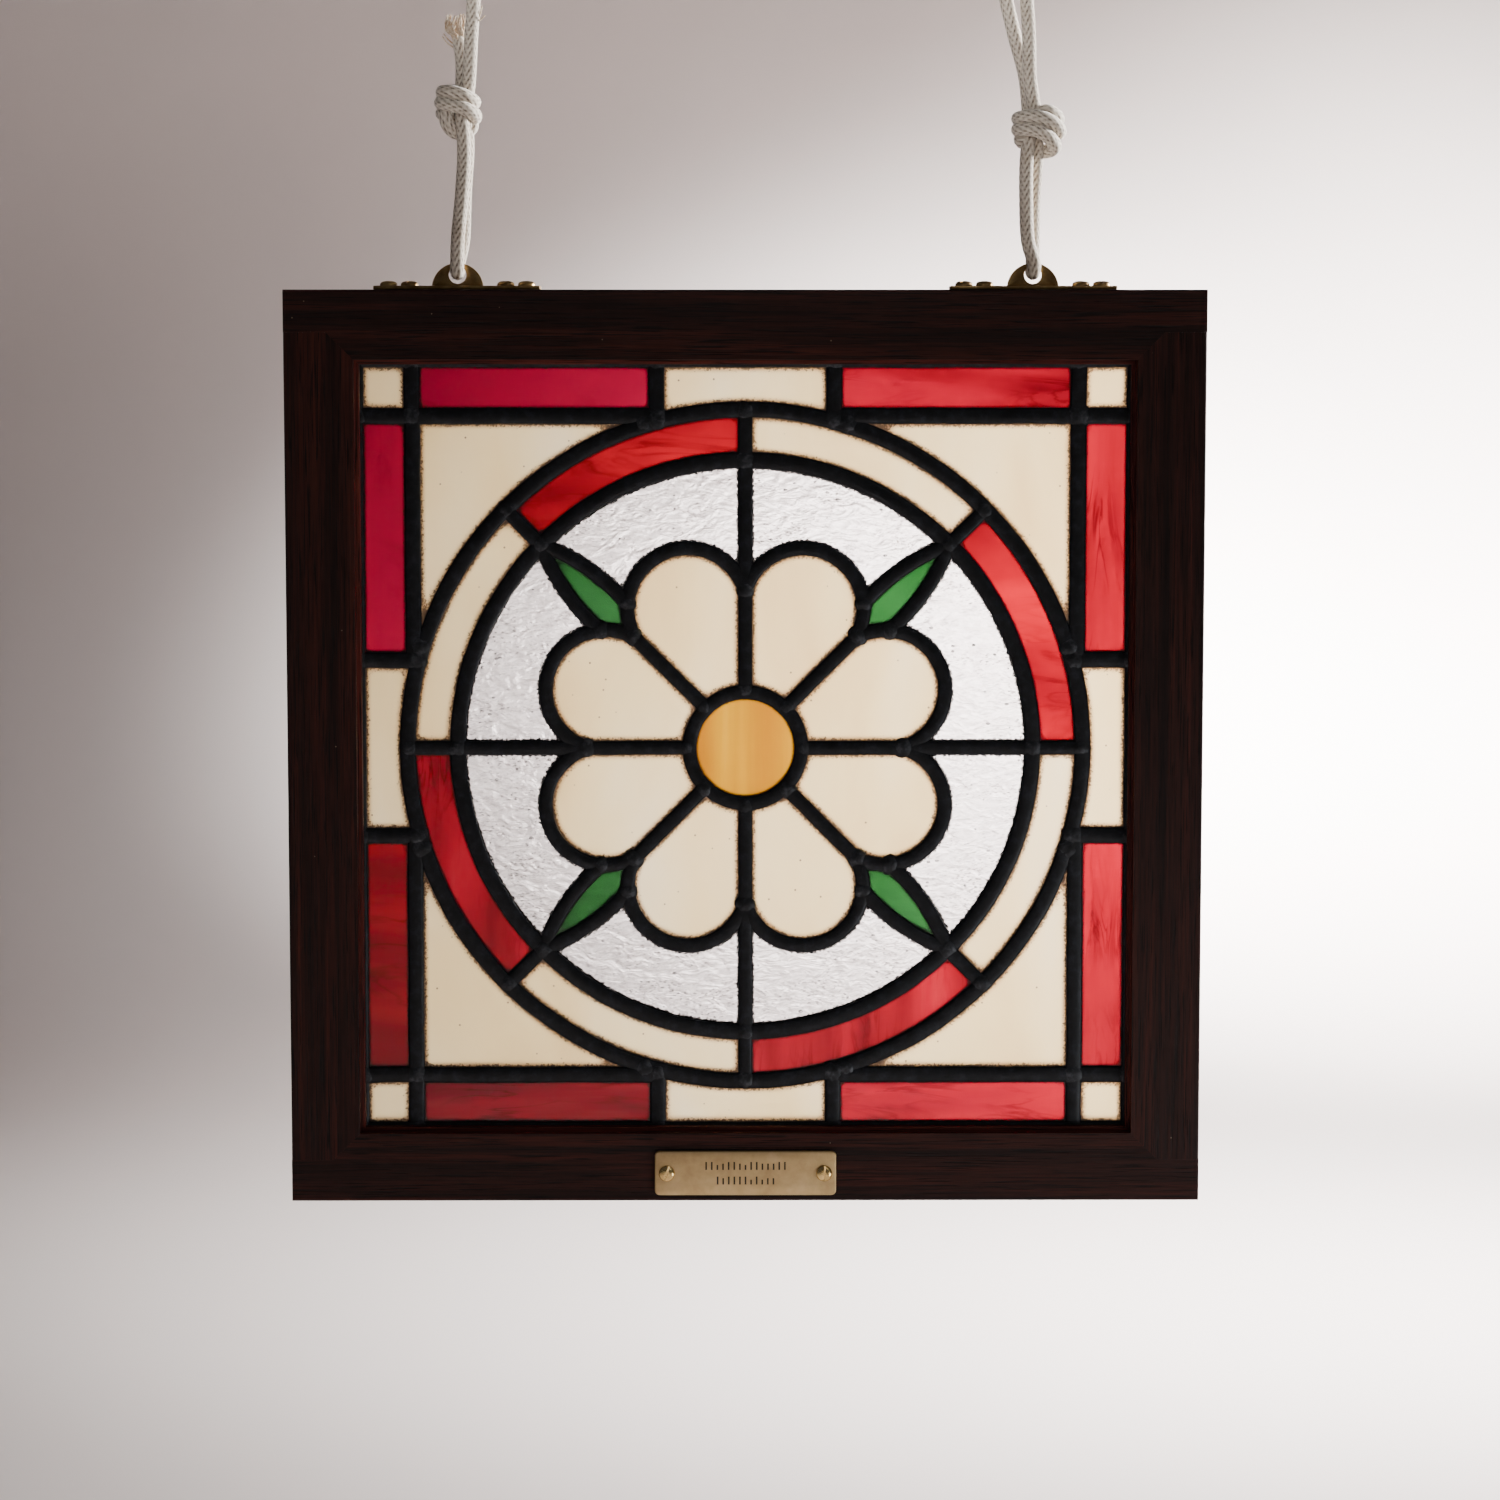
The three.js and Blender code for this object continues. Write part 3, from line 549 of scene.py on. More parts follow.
bm = bmesh.new()
for mesh in (came_mesh("border_cames", BORDER_CAME, border_runs, rings),
             came_mesh("inner_cames", INNER_CAME, inner_runs, [disc]),
             came_mesh("edge_cames", EDGE_CAME, edge_runs)):
    bm.from_mesh(mesh)
    bpy.data.meshes.remove(mesh)
bmesh.ops.remove_doubles(bm, verts=bm.verts, dist=1e-3)
solder_layer = bm.verts.layers.float.new("solder")
noise.seed_set(5)
for v in bm.verts:
    sway = noise.noise_vector(v.co * 0.06) * 0.28 + noise.noise_vector(v.co * 0.33) * 0.1
    v.co += Vector((sway.x, sway.y, 0))
    if abs(v.co.z) > LEAF_BACK + 0.05:
        v.co.z += math.copysign(noise.noise(v.co * 0.8) * 0.09, v.co.z)
rng = random.Random(5)
for place, size in joints:
    for face in (1, -1):
        blob = bmesh.new()
        layer = blob.verts.layers.float.new("solder")
        shape = Matrix.Translation((place.x, place.y, face * (LEAF_BACK + 0.15)))
        turn = Matrix.Rotation(rng.uniform(0, 6.28), 4, "Z")
        grown = size * rng.uniform(0.94, 1.08)
        spread = (grown * rng.uniform(0.95, 1.05), grown * rng.uniform(0.92, 1.02), SOLDER_DOME, 1)
        seat = shape @ turn @ Matrix.Diagonal(spread)
        bmesh.ops.create_uvsphere(blob, u_segments=16, v_segments=9, radius=1, matrix=seat)
        lift = rng.uniform(-0.1, 0.1)
        for v in blob.verts:
            v[layer] = 1.0
            away = v.co - Vector((place.x, place.y, v.co.z))
            ragged = noise.noise(v.co * 0.42 + Vector((0, 0, 7 * face)))
            v.co += away * (0.2 * ragged)
            rough = noise.noise(v.co * 0.75)
            if abs(v.co.z) > LEAF_BACK:
                v.co.z = face * min(abs(v.co.z) + 0.3 * rough + lift, SOLDER_TOP)
            else:
                v.co.z = face * max(abs(v.co.z), LEAF_BACK - 0.25)
        lump_mesh = mesh_from(blob, "solder_lump")
        bm.from_mesh(lump_mesh)
        bpy.data.meshes.remove(lump_mesh)
upright = Matrix.Rotation(math.pi / 2, 4, "X")
hung = Matrix.Translation((0, 0, PANEL_Z * MM)) @ upright @ Matrix.Scale(MM, 4)
bmesh.ops.transform(bm, matrix=hung, verts=bm.verts)
bmesh.ops.recalc_face_normals(bm, faces=bm.faces)

# Patinated lead: a soft metal with a dull blue-black skin, greyer and rougher where it was soldered.
# Handling wears it to a faint sheen.
patina, tree, shader = finish("patinated_lead", Metallic=0.55)
at = add(tree, "TexCoord").outputs["Object"]
soldered = add(tree, "Attribute", attribute_name="solder").outputs["Fac"]
cloud = add(tree, "TexNoise", {"Vector": at, "Scale": 240.0, "Detail": 6.0, "Roughness": 0.62}).outputs[0]
broad = add(tree, "TexNoise", {"Vector": at, "Scale": 42.0, "Detail": 3.0}).outputs[0]
skin = add(tree, "ValToRGB", {"Fac": cloud}, stops=[(0.3, "#0b0c0f"), (0.72, "#22252b"), (0.52, "#14161a")])
joint = add(tree, "ValToRGB", {"Fac": cloud}, stops=[(0.32, "#101113"), (0.7, "#43454a"), (0.52, "#232529")])
metal = add(tree, "MixRGB", {"Fac": soldered, "Color1": skin.outputs[0], "Color2": joint.outputs[0]})
tree.links.new(metal.outputs[0], shader.inputs["Base Color"])
dull = add(tree, "MapRange", {"Value": broad, "From Min": 0.3, "From Max": 0.7, "To Min": 0.34,
                              "To Max": 0.56}).outputs[0]
tree.links.new(dull, shader.inputs["Roughness"])
pits = add(tree, "TexNoise", {"Vector": at, "Scale": 900.0, "Detail": 4.0}).outputs[0]
worked = add(tree, "Math", {0: pits, 1: cloud}, operation="ADD").outputs[0]
grain = add(tree, "Bump", {"Height": worked, "Strength": 0.35, "Distance": 0.00025})
tree.links.new(grain.outputs[0], shader.inputs["Normal"])
piece("lead_cames_and_solder", mesh_from(bm, "lead_cames_and_solder"), patina, "lead", "lead_came_net")


# Glass
# Hand-cut pieces of sheet glass, 3 mm thick, held in the leads with cement: cream opal, streaky ruby, amber,
# green and clear seedy glass. Each pane's edge has ragged dark cement that crept in under the lead, and
# painted shade darkens each pane softly towards the leads.
PANE_GRID = 2.2
CLEAR_GRID = 1.3
GLASS_FACE = 1.5
SEEDS_A_PANE = 12
SEED_ROOM = 1.6
SPOTS_A_STEP = 6

came_trees = []
for half, open_lines, closed_lines in (
        (BORDER_CAME / 2, border_runs, rings), (INNER_CAME / 2, inner_runs, [disc]),
        (EDGE_CAME / 2, edge_runs, [])):
    spots = []
    for line in [*open_lines, *(line + line[:1] for line in closed_lines)]:
        spots += [a.lerp(b, k / SPOTS_A_STEP) for a, b in zip(line, line[1:])
                  for k in range(SPOTS_A_STEP + 1)]
    lead_spots = kdtree.KDTree(len(spots))
    for i, spot in enumerate(spots):
        lead_spots.insert((spot.x, spot.y, 0), i)
    lead_spots.balance()
    came_trees.append((lead_spots, half))


def clear_of_lead(x, z):
    """How far a point of a pane lies outside the nearest came's leaf, in millimetres."""
    return min(lead_spots.find((x, z, 0))[2] - half for lead_spots, half in came_trees)


def pane_mesh(node, grid, ripple):
    """A pane as cut, divided finely, with an uneven face. Each point keeps its distance from the leads."""
    bm = bmesh.new()
    bm.from_mesh(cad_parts[node].data)
    bmesh.ops.remove_doubles(bm, verts=bm.verts, dist=1e-6)
    bmesh.ops.dissolve_limit(bm, angle_limit=0.01, verts=bm.verts, edges=bm.edges)
    low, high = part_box(node)
    for axis, normal in ((0, (1, 0, 0)), (2, (0, 0, 1))):
        count = math.ceil((high[axis] - low[axis]) / (grid * MM))
        for i in range(1, count):
            place = [0, 0, 0]
            place[axis] = low[axis] + (high[axis] - low[axis]) * i / count
            bmesh.ops.bisect_plane(bm, geom=bm.verts[:] + bm.edges[:] + bm.faces[:], dist=1e-7,
                                   plane_co=place, plane_no=normal)
    gap_layer = bm.verts.layers.float.new("lead_gap")
    for v in bm.verts:
        x, z = v.co.x / MM, v.co.z / MM - PANEL_Z
        v[gap_layer] = clear_of_lead(x, z)
        if abs(abs(v.co.y) / MM - GLASS_FACE) < 0.01:
            wave = noise.noise(Vector((x * 0.09, z * 0.16, 3 + v.co.y * 900))) + 0.5 * noise.noise(
                Vector((x * 0.3, z * 0.42, v.co.y * 700)))
            v.co.y += math.copysign(ripple * MM * wave, -v.co.y) * min(1.0, max(0.0, v[gap_layer] + 2))
    bmesh.ops.recalc_face_normals(bm, faces=bm.faces)
    return bm


def lead_shade_and_cement(tree, at, colour, shade, dirt, soft, rough, ragged):
    """Paints a soft shade into a pane's colour towards the leads, and adds ragged cement crumbs next to them.
    """
    gap = add(tree, "Attribute", attribute_name="lead_gap").outputs["Fac"]
    # Painted shade: the pane's colour is multiplied darker over the last millimetres before the leads.
    near = add(tree, "MapRange", {"Value": gap, "From Min": soft, "From Max": -0.2},
               interpolation_type="SMOOTHSTEP").outputs[0]
    shaded = add(tree, "MixRGB", {"Fac": near, "Color1": colour, "Color2": linear(shade)},
                 blend_type="MULTIPLY").outputs[0]
    crumbs = add(tree, "TexNoise", {"Vector": at, "Scale": rough, "Detail": 4.0, "Roughness": 0.7}).outputs[0]
    reach = add(tree, "MapRange", {"Value": crumbs, "From Min": 0.42, "From Max": 0.72,
                                   "To Max": ragged}).outputs[0]
    left = add(tree, "Math", {0: gap, 1: reach}, operation="SUBTRACT").outputs[0]
    amount = add(tree, "MapRange", {"Value": left, "From Min": 0.22, "From Max": -0.05}).outputs[0]
    return add(tree, "MixRGB", {"Fac": amount, "Color1": shaded, "Color2": linear(dirt)}).outputs[0]


def specks(tree, at, colour, speck, spacing, size):
    """Scatters tiny dark specks, each in its own cell, and returns the speckled colour."""
    cells = add(tree, "TexVoronoi", {"Vector": at, "Scale": 1 / spacing, "Randomness": 1.0})
    inside = add(tree, "MapRange", {"Value": cells.outputs["Distance"], "From Min": size * 1.6,
                                    "From Max": size}).outputs[0]
    chosen = add(tree, "Math", {0: cells.outputs["Color"], 1: 0.62}, operation="GREATER_THAN").outputs[0]
    amount = add(tree, "Math", {0: inside, 1: chosen}, operation="MULTIPLY").outputs[0]
    return add(tree, "MixRGB", {"Fac": amount, "Color1": colour, "Color2": linear(speck)}).outputs[0]


# Cream opal glass: milky, so that it glows evenly with the light behind it, deeper and paler in broad wisps.
opal, tree, shader = finish("cream_opal_glass", Roughness=0.42, Transmission_Weight=0.84, IOR=1.5,
                            Coat_Weight=0.8, Coat_Roughness=0.06)
at = add(tree, "TexCoord").outputs["Object"]
wisps = streaks(tree, at, (22, 22, 9), 12, bend=0.35)
milk = add(tree, "ValToRGB", {"Fac": wisps},
           stops=[(0.28, "#e4c78c"), (0.74, "#fff4d0"), (0.45, "#f6dea4"), (0.6, "#fdeab6")]).outputs[0]
# Painted shade towards the leads, and real cement crumbs at their edge.
shaded_and_cemented_milk = lead_shade_and_cement(tree, at, milk, "#a88d72", "#3a2c20", 2.6, 1100.0, 2.1)
clouded = specks(tree, at, shaded_and_cemented_milk, "#4a3a2c", 0.006, 0.05)
tree.links.new(clouded, shader.inputs["Base Color"])
rolled = streaks(tree, at, (160, 160, 60), 5, bend=0.35)
skin = add(tree, "Bump", {"Height": rolled, "Strength": 0.12, "Distance": 0.0004})
tree.links.new(skin.outputs[0], shader.inputs["Coat Normal"])


def tinted(name, stops, scale, turn, dirt, veins=0.0, **values):
    """A streaky clear or half-opal glass. Its veins are thin darker folds that run across the streaks."""
    made, tree, shader = finish(name, IOR=1.5, Coat_Weight=0.1, Coat_Roughness=0.05, **values)
    at = add(tree, "TexCoord").outputs["Object"]
    streak = streaks(tree, at, scale, turn, bend=0.35)
    colour = add(tree, "ValToRGB", {"Fac": streak}, stops=stops).outputs[0]
    fold = streaks(tree, at, [s * 2.4 for s in scale], turn + 14, 5.0, 0.9)
    off_fold = add(tree, "Math", {0: fold, 1: 0.5}, operation="SUBTRACT").outputs[0]
    ridge = add(tree, "Math", {0: off_fold}, operation="ABSOLUTE").outputs[0]
    patch = add(tree, "TexNoise", {"Vector": at, "Scale": 26.0, "Detail": 1.0}).outputs[0]
    where = add(tree, "MapRange", {"Value": patch, "From Min": 0.4, "From Max": 0.62,
                                   "To Max": veins}).outputs[0]
    core = add(tree, "MapRange", {"Value": ridge, "From Min": 0.045, "From Max": 0.0}).outputs[0]
    amount = add(tree, "Math", {0: core, 1: where}, operation="MULTIPLY").outputs[0]
    veined = add(tree, "MixRGB", {"Fac": amount, "Color1": colour, "Color2": linear("#5e2222")},
                 blend_type="MULTIPLY").outputs[0]
    # Painted shade towards the leads, and real cement crumbs at their edge.
    shaded_and_cemented_glass = lead_shade_and_cement(tree, at, veined, "#8a7a78", dirt, 1.4, 1000.0, 0.8)
    tree.links.new(shaded_and_cemented_glass, shader.inputs["Base Color"])
    rolled = streaks(tree, at, [s * 5 for s in scale], turn, bend=0.35)
    skin = add(tree, "Bump", {"Height": rolled, "Strength": 0.15, "Distance": 0.0004})
    tree.links.new(skin.outputs[0], shader.inputs["Normal"])
    return made


# Ruby glass: a deep clear red with darker folds and pale wisps from the rolling. Sheets differ: the upper
# left bars are cut from a bluer, crimson sheet, and those on the right from brighter ones.
RUBY = {"Roughness": 0.28, "Transmission_Weight": 0.92, "Specular_IOR_Level": 0.2}
deep_ruby = tinted("deep_ruby_glass", [(0.3, "#480008"), (0.75, "#980418"), (0.5, "#70000f")],
                   (9, 9, 34), 25, "#1a0204", 0.7, **RUBY)
bright_ruby = tinted(
    "bright_ruby_glass", [(0.27, "#42000a"), (0.78, "#96182a"), (0.42, "#680210"), (0.6, "#800318")],
    (60, 60, 9), 8, "#220306", 0.9, **RUBY)
level_ruby = tinted(
    "level_ruby_glass", [(0.27, "#46000a"), (0.78, "#941226"), (0.42, "#660010"), (0.6, "#7c021a")],
    (9, 50, 50), -8, "#220306", 0.8, **RUBY)
pale_ruby = tinted(
    "pale_ruby_glass", [(0.27, "#600010"), (0.78, "#ae102c"), (0.42, "#80001a"), (0.6, "#96021e")],
    (9, 50, 50), -8, "#220306", 0.8, **RUBY)
crimson_up = tinted("crimson_glass_upright", [(0.3, "#780026"), (0.75, "#a4002d"), (0.5, "#8b002a")],
                    (18, 18, 6), 0, "#1a0208", 0.4, **RUBY)
crimson_level = tinted("crimson_glass_level", [(0.3, "#6c0022"), (0.75, "#8e0028"), (0.5, "#7c0026")],
                       (6, 18, 18), 0, "#1a0208", 0.4, **RUBY)
# Amber glass: half opal, honey yellow with fine upright streaks.
amber = tinted(
    "streaky_amber_glass", [(0.25, "#a26400"), (0.75, "#dcb012"), (0.42, "#b67c00"), (0.58, "#c89400")],
    (70, 70, 6), 0, "#4a2c08", Roughness=0.4, Transmission_Weight=0.7)
# Green glass: an even clear mid green.
green = tinted("green_cathedral_glass", [(0.3, "#103a14"), (0.7, "#214e27")], (14, 14, 6), 0, "#0a160a",
               Roughness=0.25, Transmission_Weight=0.88)

# Clear seedy glass: colourless, with drawn ripples, trapped bubbles and old dirt in its dimples. Grey wavy
# streaks painted into its colour stand for the shading of the ripples.
seedy, tree, shader = finish("clear_seedy_glass", Roughness=0.035, Transmission_Weight=1.0, IOR=1.5)
at = add(tree, "TexCoord").outputs["Object"]
jitter = add(tree, "TexNoise", {"Vector": at, "Scale": 900.0, "Detail": 2.0}).outputs["Color"]
shaken = add(tree, "VectorMath", {0: jitter, "Scale": 0.0011}, operation="SCALE").outputs[0]
moved = add(tree, "VectorMath", {0: at, 1: shaken}, operation="ADD").outputs[0]
patch = streaks(tree, at, (40, 40, 90), detail=3.0)
flat_cells = add(tree, "Mapping", {"Vector": moved, "Scale": (380, 380, 1000)}).outputs[0]
dashes = add(tree, "TexVoronoi", {"Vector": flat_cells, "Scale": 1.0, "Randomness": 1.0}).outputs["Distance"]
dash = add(tree, "MapRange", {"Value": dashes, "From Min": 0.34, "From Max": 0.2}).outputs[0]
where = add(tree, "MapRange", {"Value": patch, "From Min": 0.42, "From Max": 0.6}).outputs[0]
marks = add(tree, "Math", {0: dash, 1: where}, operation="MULTIPLY").outputs[0]
# Painted shade: grey wavy streaks stand for the light bent by the ripples.
ripple_shade_noise = streaks(tree, at, (260, 260, 520), rough=0.7)
painted_ripple_shade = add(tree, "ValToRGB", {"Fac": ripple_shade_noise}, stops=[(0.3, "#c2bdbf"), (0.62, "#fdfcfd")]).outputs[0]
marked = add(tree, "MixRGB", {"Fac": marks, "Color1": painted_ripple_shade, "Color2": linear("#5c5655")}).outputs[0]
# Old dirt: a few clusters of brown-black flecks.
old = add(tree, "TexNoise", {"Vector": at, "Scale": 55.0, "Detail": 2.0}).outputs[0]
cluster = add(tree, "MapRange", {"Value": old, "From Min": 0.66, "From Max": 0.76}).outputs[0]
flecks = add(tree, "TexVoronoi", {"Vector": moved, "Scale": 1100.0, "Randomness": 1.0}).outputs["Distance"]
fleck = add(tree, "MapRange", {"Value": flecks, "From Min": 0.42, "From Max": 0.3}).outputs[0]
grime = add(tree, "Math", {0: fleck, 1: cluster}, operation="MULTIPLY").outputs[0]
soiled = add(tree, "MixRGB", {"Fac": grime, "Color1": marked, "Color2": linear("#33251c")}).outputs[0]
# Painted shade towards the leads, and real black cement crumbs at their edge.
edged = lead_shade_and_cement(tree, at, soiled, "#d8d2d0", "#060606", 0.9, 800.0, 1.3)
dusty = specks(tree, at, edged, "#1c1a1a", 0.0055, 0.045)
tree.links.new(dusty, shader.inputs["Base Color"])
dimple = streaks(tree, at, (120, 120, 220), bend=0.8)
water = add(tree, "Bump", {"Height": dimple, "Strength": 0.55, "Distance": 0.0009})
tree.links.new(water.outputs[0], shader.inputs["Normal"])

CORNERS = ("top_left", "top_right", "bottom_left", "bottom_right")
panes = [(f"corner_glass_{c}", opal, "cream_glass") for c in CORNERS]
panes += [(f"spandrel_glass_{c}", opal, "cream_glass") for c in CORNERS]
panes += [(f"side_glass_{s}", opal, "cream_glass") for s in ("top", "right", "bottom", "left")]
panes += [(f"petal_glass_{i}", opal, "cream_glass") for i in range(1, 9)]
panes += [(f"ring_cream_{i}", opal, "cream_glass") for i in (2, 4, 6, 8)]
panes += [(f"red_bar_{bar}", sheet, "ruby_glass") for bar, sheet in (
    ("top_left", crimson_level), ("left_upper", crimson_up), ("left_lower", deep_ruby),
    ("top_right", level_ruby), ("bottom_left", level_ruby), ("bottom_right", pale_ruby),
    ("right_upper", bright_ruby), ("right_lower", bright_ruby))]
panes += [(f"ring_red_{i}", sheet, "ruby_glass") for i, sheet in (
    (1, deep_ruby), (3, deep_ruby), (5, bright_ruby), (7, bright_ruby))]
panes += [("centre_glass", amber, "amber_glass")]
panes += [(f"sepal_glass_{i}", green, "green_glass") for i in range(1, 5)]
for node, sheet, slot in panes:
    bm = pane_mesh(node, PANE_GRID, 0.05)
    piece(node + "_pane", mesh_from(bm, node + "_pane", smooth=False), sheet, slot, node)

# Bubbles in the clear glass: flattened seeds drawn out with the ripples, open air inside the sheet.
rng = random.Random(23)
for i in range(1, 9):
    node = f"ground_glass_{i}"
    bm = pane_mesh(node, CLEAR_GRID, 0.1)
    low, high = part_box(node)
    inside = {(round(v.co.x / MM), round(v.co.z / MM - PANEL_Z)) for v in bm.verts}
    made = 0
    while made < SEEDS_A_PANE:
        x, z = rng.uniform(low[0], high[0]) / MM, rng.uniform(low[2], high[2]) / MM - PANEL_Z
        size, drawn = rng.uniform(0.22, 0.5), rng.uniform(1.0, 2.2)
        radius = math.hypot(x, z)
        if clear_of_lead(x, z) < SEED_ROOM or radius > RING_INNER - 4 or (round(x), round(z)) not in inside:
            continue
        place = Matrix.Translation(Vector((x, rng.uniform(-0.5, 0.5), z + PANEL_Z)) * MM)
        squash = Matrix.Diagonal((size * drawn * MM, size * 0.6 * MM, size * MM, 1))
        seed = bmesh.ops.create_uvsphere(bm, u_segments=8, v_segments=5, radius=1, matrix=place @ squash)
        faces = {f for v in seed["verts"] for f in v.link_faces}
        bmesh.ops.reverse_faces(bm, faces=list(faces))
        layer = bm.verts.layers.float["lead_gap"]
        for v in seed["verts"]:
            v[layer] = 9.0
        made += 1
    piece(node + "_pane", mesh_from(bm, node + "_pane"), seedy, "clear_glass", node)


# Frame
# Two rails and two stiles of dark open-grained hardwood, halved and mitred at the corners and oiled.
# A narrow inner bead holds the leaded panel, and its arrises are softened by sanding. The bead's faces carry
# a lighter, redder copy of the wood's colours as painted light.
INNER_FACE = 150.7
HALF_FRAME = 177.5
SHOULDER = 161.2
GLUE_LINE = 0.01
ARRIS = 0.8
BEAD_ARRIS = 0.18


def dark_wood(name, scale, tone):
    """Oiled dark wood: fine pores along the grain, 0.15 to 0.4 mm wide, and slow bands of brown."""
    made, tree, shader = finish(name, Specular_IOR_Level=0.18)
    at = add(tree, "TexCoord").outputs["Object"]
    slow = streaks(tree, at, [s * 0.16 for s in scale], detail=5.0, bend=0.6)
    fine = streaks(tree, at, scale, detail=6.0, rough=0.7)
    pores = streaks(tree, at, [s * 1.9 for s in scale], detail=2.0)
    shades = [(0.3, tone[0]), (0.72, tone[2]), (0.5, tone[1])]
    body = add(tree, "ValToRGB", {"Fac": slow}, stops=shades).outputs[0]
    lines = add(tree, "MapRange", {"Value": fine, "From Min": 0.36, "From Max": 0.66, "To Min": 0.45,
                                   "To Max": 1.35}).outputs[0]
    grained = add(tree, "VectorMath", {0: body, "Scale": lines}, operation="SCALE").outputs[0]
    pore = add(tree, "MapRange", {"Value": pores, "From Min": 0.56, "From Max": 0.64,
                                  "To Max": 0.85}).outputs[0]
    pored = add(tree, "MixRGB", {"Fac": pore, "Color1": grained, "Color2": linear("#0a0504")}).outputs[0]
    tree.links.new(specks(tree, at, pored, "#6b5a4c", 0.009, 0.022), shader.inputs["Base Color"])
    gloss = add(tree, "MapRange", {"Value": fine, "From Min": 0.3, "From Max": 0.7, "To Min": 0.44,
                                   "To Max": 0.66}).outputs[0]
    tree.links.new(gloss, shader.inputs["Roughness"])
    both = add(tree, "Math", {0: fine, 1: pore}, operation="SUBTRACT").outputs[0]
    cut = add(tree, "Bump", {"Height": both, "Strength": 0.4, "Distance": 0.0005})
    tree.links.new(cut.outputs[0], shader.inputs["Normal"])
    return made


def bevelled(bm, edges, offset, segments, clamp=True):
    """Rounds edges by an offset in millimetres."""
    bmesh.ops.bevel(bm, geom=edges, offset=offset * MM, offset_type="OFFSET", affect="EDGES",
                    segments=segments, profile=0.5, material=-1, clamp_overlap=clamp)


def square_reach(place):
    """How far a place lies from the panel's middle, measured square as the frame is, in millimetres."""
    return max(abs(place.x), abs(place.z - PANEL_Z * MM)) / MM


TONE = ("#1a0a07", "#2c130e", "#421c14")
# Painted light: the bead's faces get the same wood in lighter, redder tones.
LIT_BEAD_TONE = ("#3e1812", "#54221b", "#6c3328")
ALONG_X, ALONG_Z = (22, 900, 900), (900, 900, 22)
rail_woods = dark_wood("dark_wood_rail", ALONG_X, TONE), dark_wood("lit_bead_wood_rail", ALONG_X, LIT_BEAD_TONE)
stile_woods = dark_wood("dark_wood_stile", ALONG_Z, TONE), dark_wood("lit_bead_wood_stile", ALONG_Z, LIT_BEAD_TONE)
for node, woods in (("frame_top_rail", rail_woods), ("frame_bottom_rail", rail_woods),
                    ("frame_left_stile", stile_woods), ("frame_right_stile", stile_woods)):
    bm = bmesh.new()
    bm.from_mesh(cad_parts[node].data)
    bmesh.ops.remove_doubles(bm, verts=bm.verts, dist=1e-6)
    bmesh.ops.dissolve_limit(bm, angle_limit=0.01, verts=bm.verts, edges=bm.edges)
    if "stile" in node:
        for v in bm.verts:
            side, rise = abs(v.co.x) / MM, v.co.z / MM - PANEL_Z
            if abs(rise) > 140:
                v.co.x = math.copysign(SHOULDER if abs(side - SHOULDER) < 0.3 else side, v.co.x) * MM
                v.co.z = (PANEL_Z + math.copysign(min(side, SHOULDER) - GLUE_LINE, rise)) * MM
    outer = [e for e in bm.edges if all(square_reach(v.co) > HALF_FRAME - 0.1 for v in e.verts)
             and e.calc_face_angle(0) > 0.5
             and (all(v.co.y * e.verts[0].co.y > 0 for v in e.verts) and e.calc_length() > 0.03)]
    bevelled(bm, outer, ARRIS, 3)
    inner = [e for e in bm.edges if e.is_manifold and e.calc_face_angle(0) > 0.5
             and all(square_reach(v.co) < HALF_FRAME - 1.2 and abs(v.co.y) > 3.5 * MM for v in e.verts)
             and e.calc_length() > 0.02]
    bevelled(bm, inner, BEAD_ARRIS, 2)
    for face in bm.faces:
        middle = face.calc_center_median()
        on_bead = square_reach(middle) < INNER_FACE + 0.05 and abs(middle.y) < 10 * MM
        face.material_index = 1 if on_bead else 0
    bmesh.ops.recalc_face_normals(bm, faces=bm.faces)
    piece(node + "_wood", mesh_from(bm, node + "_wood", smooth=False), woods, "dark_hardwood", node)


# Brass hangers
# A strip of 1.2 mm brass on the frame's top edge, with a pierced half-round tab brazed upright on its middle.
# Four dome-head slotted screws hold it. The brass is satin, and its colour is darkened to brown as painted
# shade.
STRIP = (64.0, 15.0, 1.2)
STRIP_Z = -141.7
SEAT = 0.28
TAB_RADIUS = 10.0
TAB_HOLE = 3.4
TAB_THICK = 1.5
TAB_FOOT = 0.9
SCREW_SINK = 0.05
SLOT_HALF = 0.42
SLOT_FLOOR = 0.42


def brass(name, stops, dull, bright):
    """Brass with a patchy tarnish and fine brushing along X. Bright parts are smoother than dull ones."""
    made, tree, shader = finish(name, Metallic=1.0)
    at = add(tree, "TexCoord").outputs["Object"]
    tarnish = add(tree, "TexNoise", {"Vector": at, "Scale": 120.0, "Detail": 5.0,
                                     "Roughness": 0.6}).outputs[0]
    hue = add(tree, "ValToRGB", {"Fac": tarnish}, stops=stops).outputs[0]
    tree.links.new(hue, shader.inputs["Base Color"])
    satin = add(tree, "MapRange", {"Value": tarnish, "From Min": 0.3, "From Max": 0.7, "To Min": dull,
                                   "To Max": bright}).outputs[0]
    tree.links.new(satin, shader.inputs["Roughness"])
    brushed = streaks(tree, at, (60, 4000, 4000), detail=2.0)
    scuff = add(tree, "Bump", {"Height": brushed, "Strength": 0.16, "Distance": 0.0002})
    tree.links.new(scuff.outputs[0], shader.inputs["Normal"])
    return made


# Painted shade: this brass is a darker, browner copy of the plate's, for hangers that stand in shade.
shade_darkened_brass = brass("shade_darkened_brass", [(0.3, "#6e5636"), (0.72, "#ae925f"), (0.5, "#8c7048")], 0.42, 0.28)


def softened(bm, verts, offset):
    """Rounds the sharp edges among these points."""
    keep = set(verts)
    sharp = [e for e in bm.edges if all(v in keep for v in e.verts) and e.calc_face_angle(0) > 0.6]
    bevelled(bm, sharp, offset, 2)


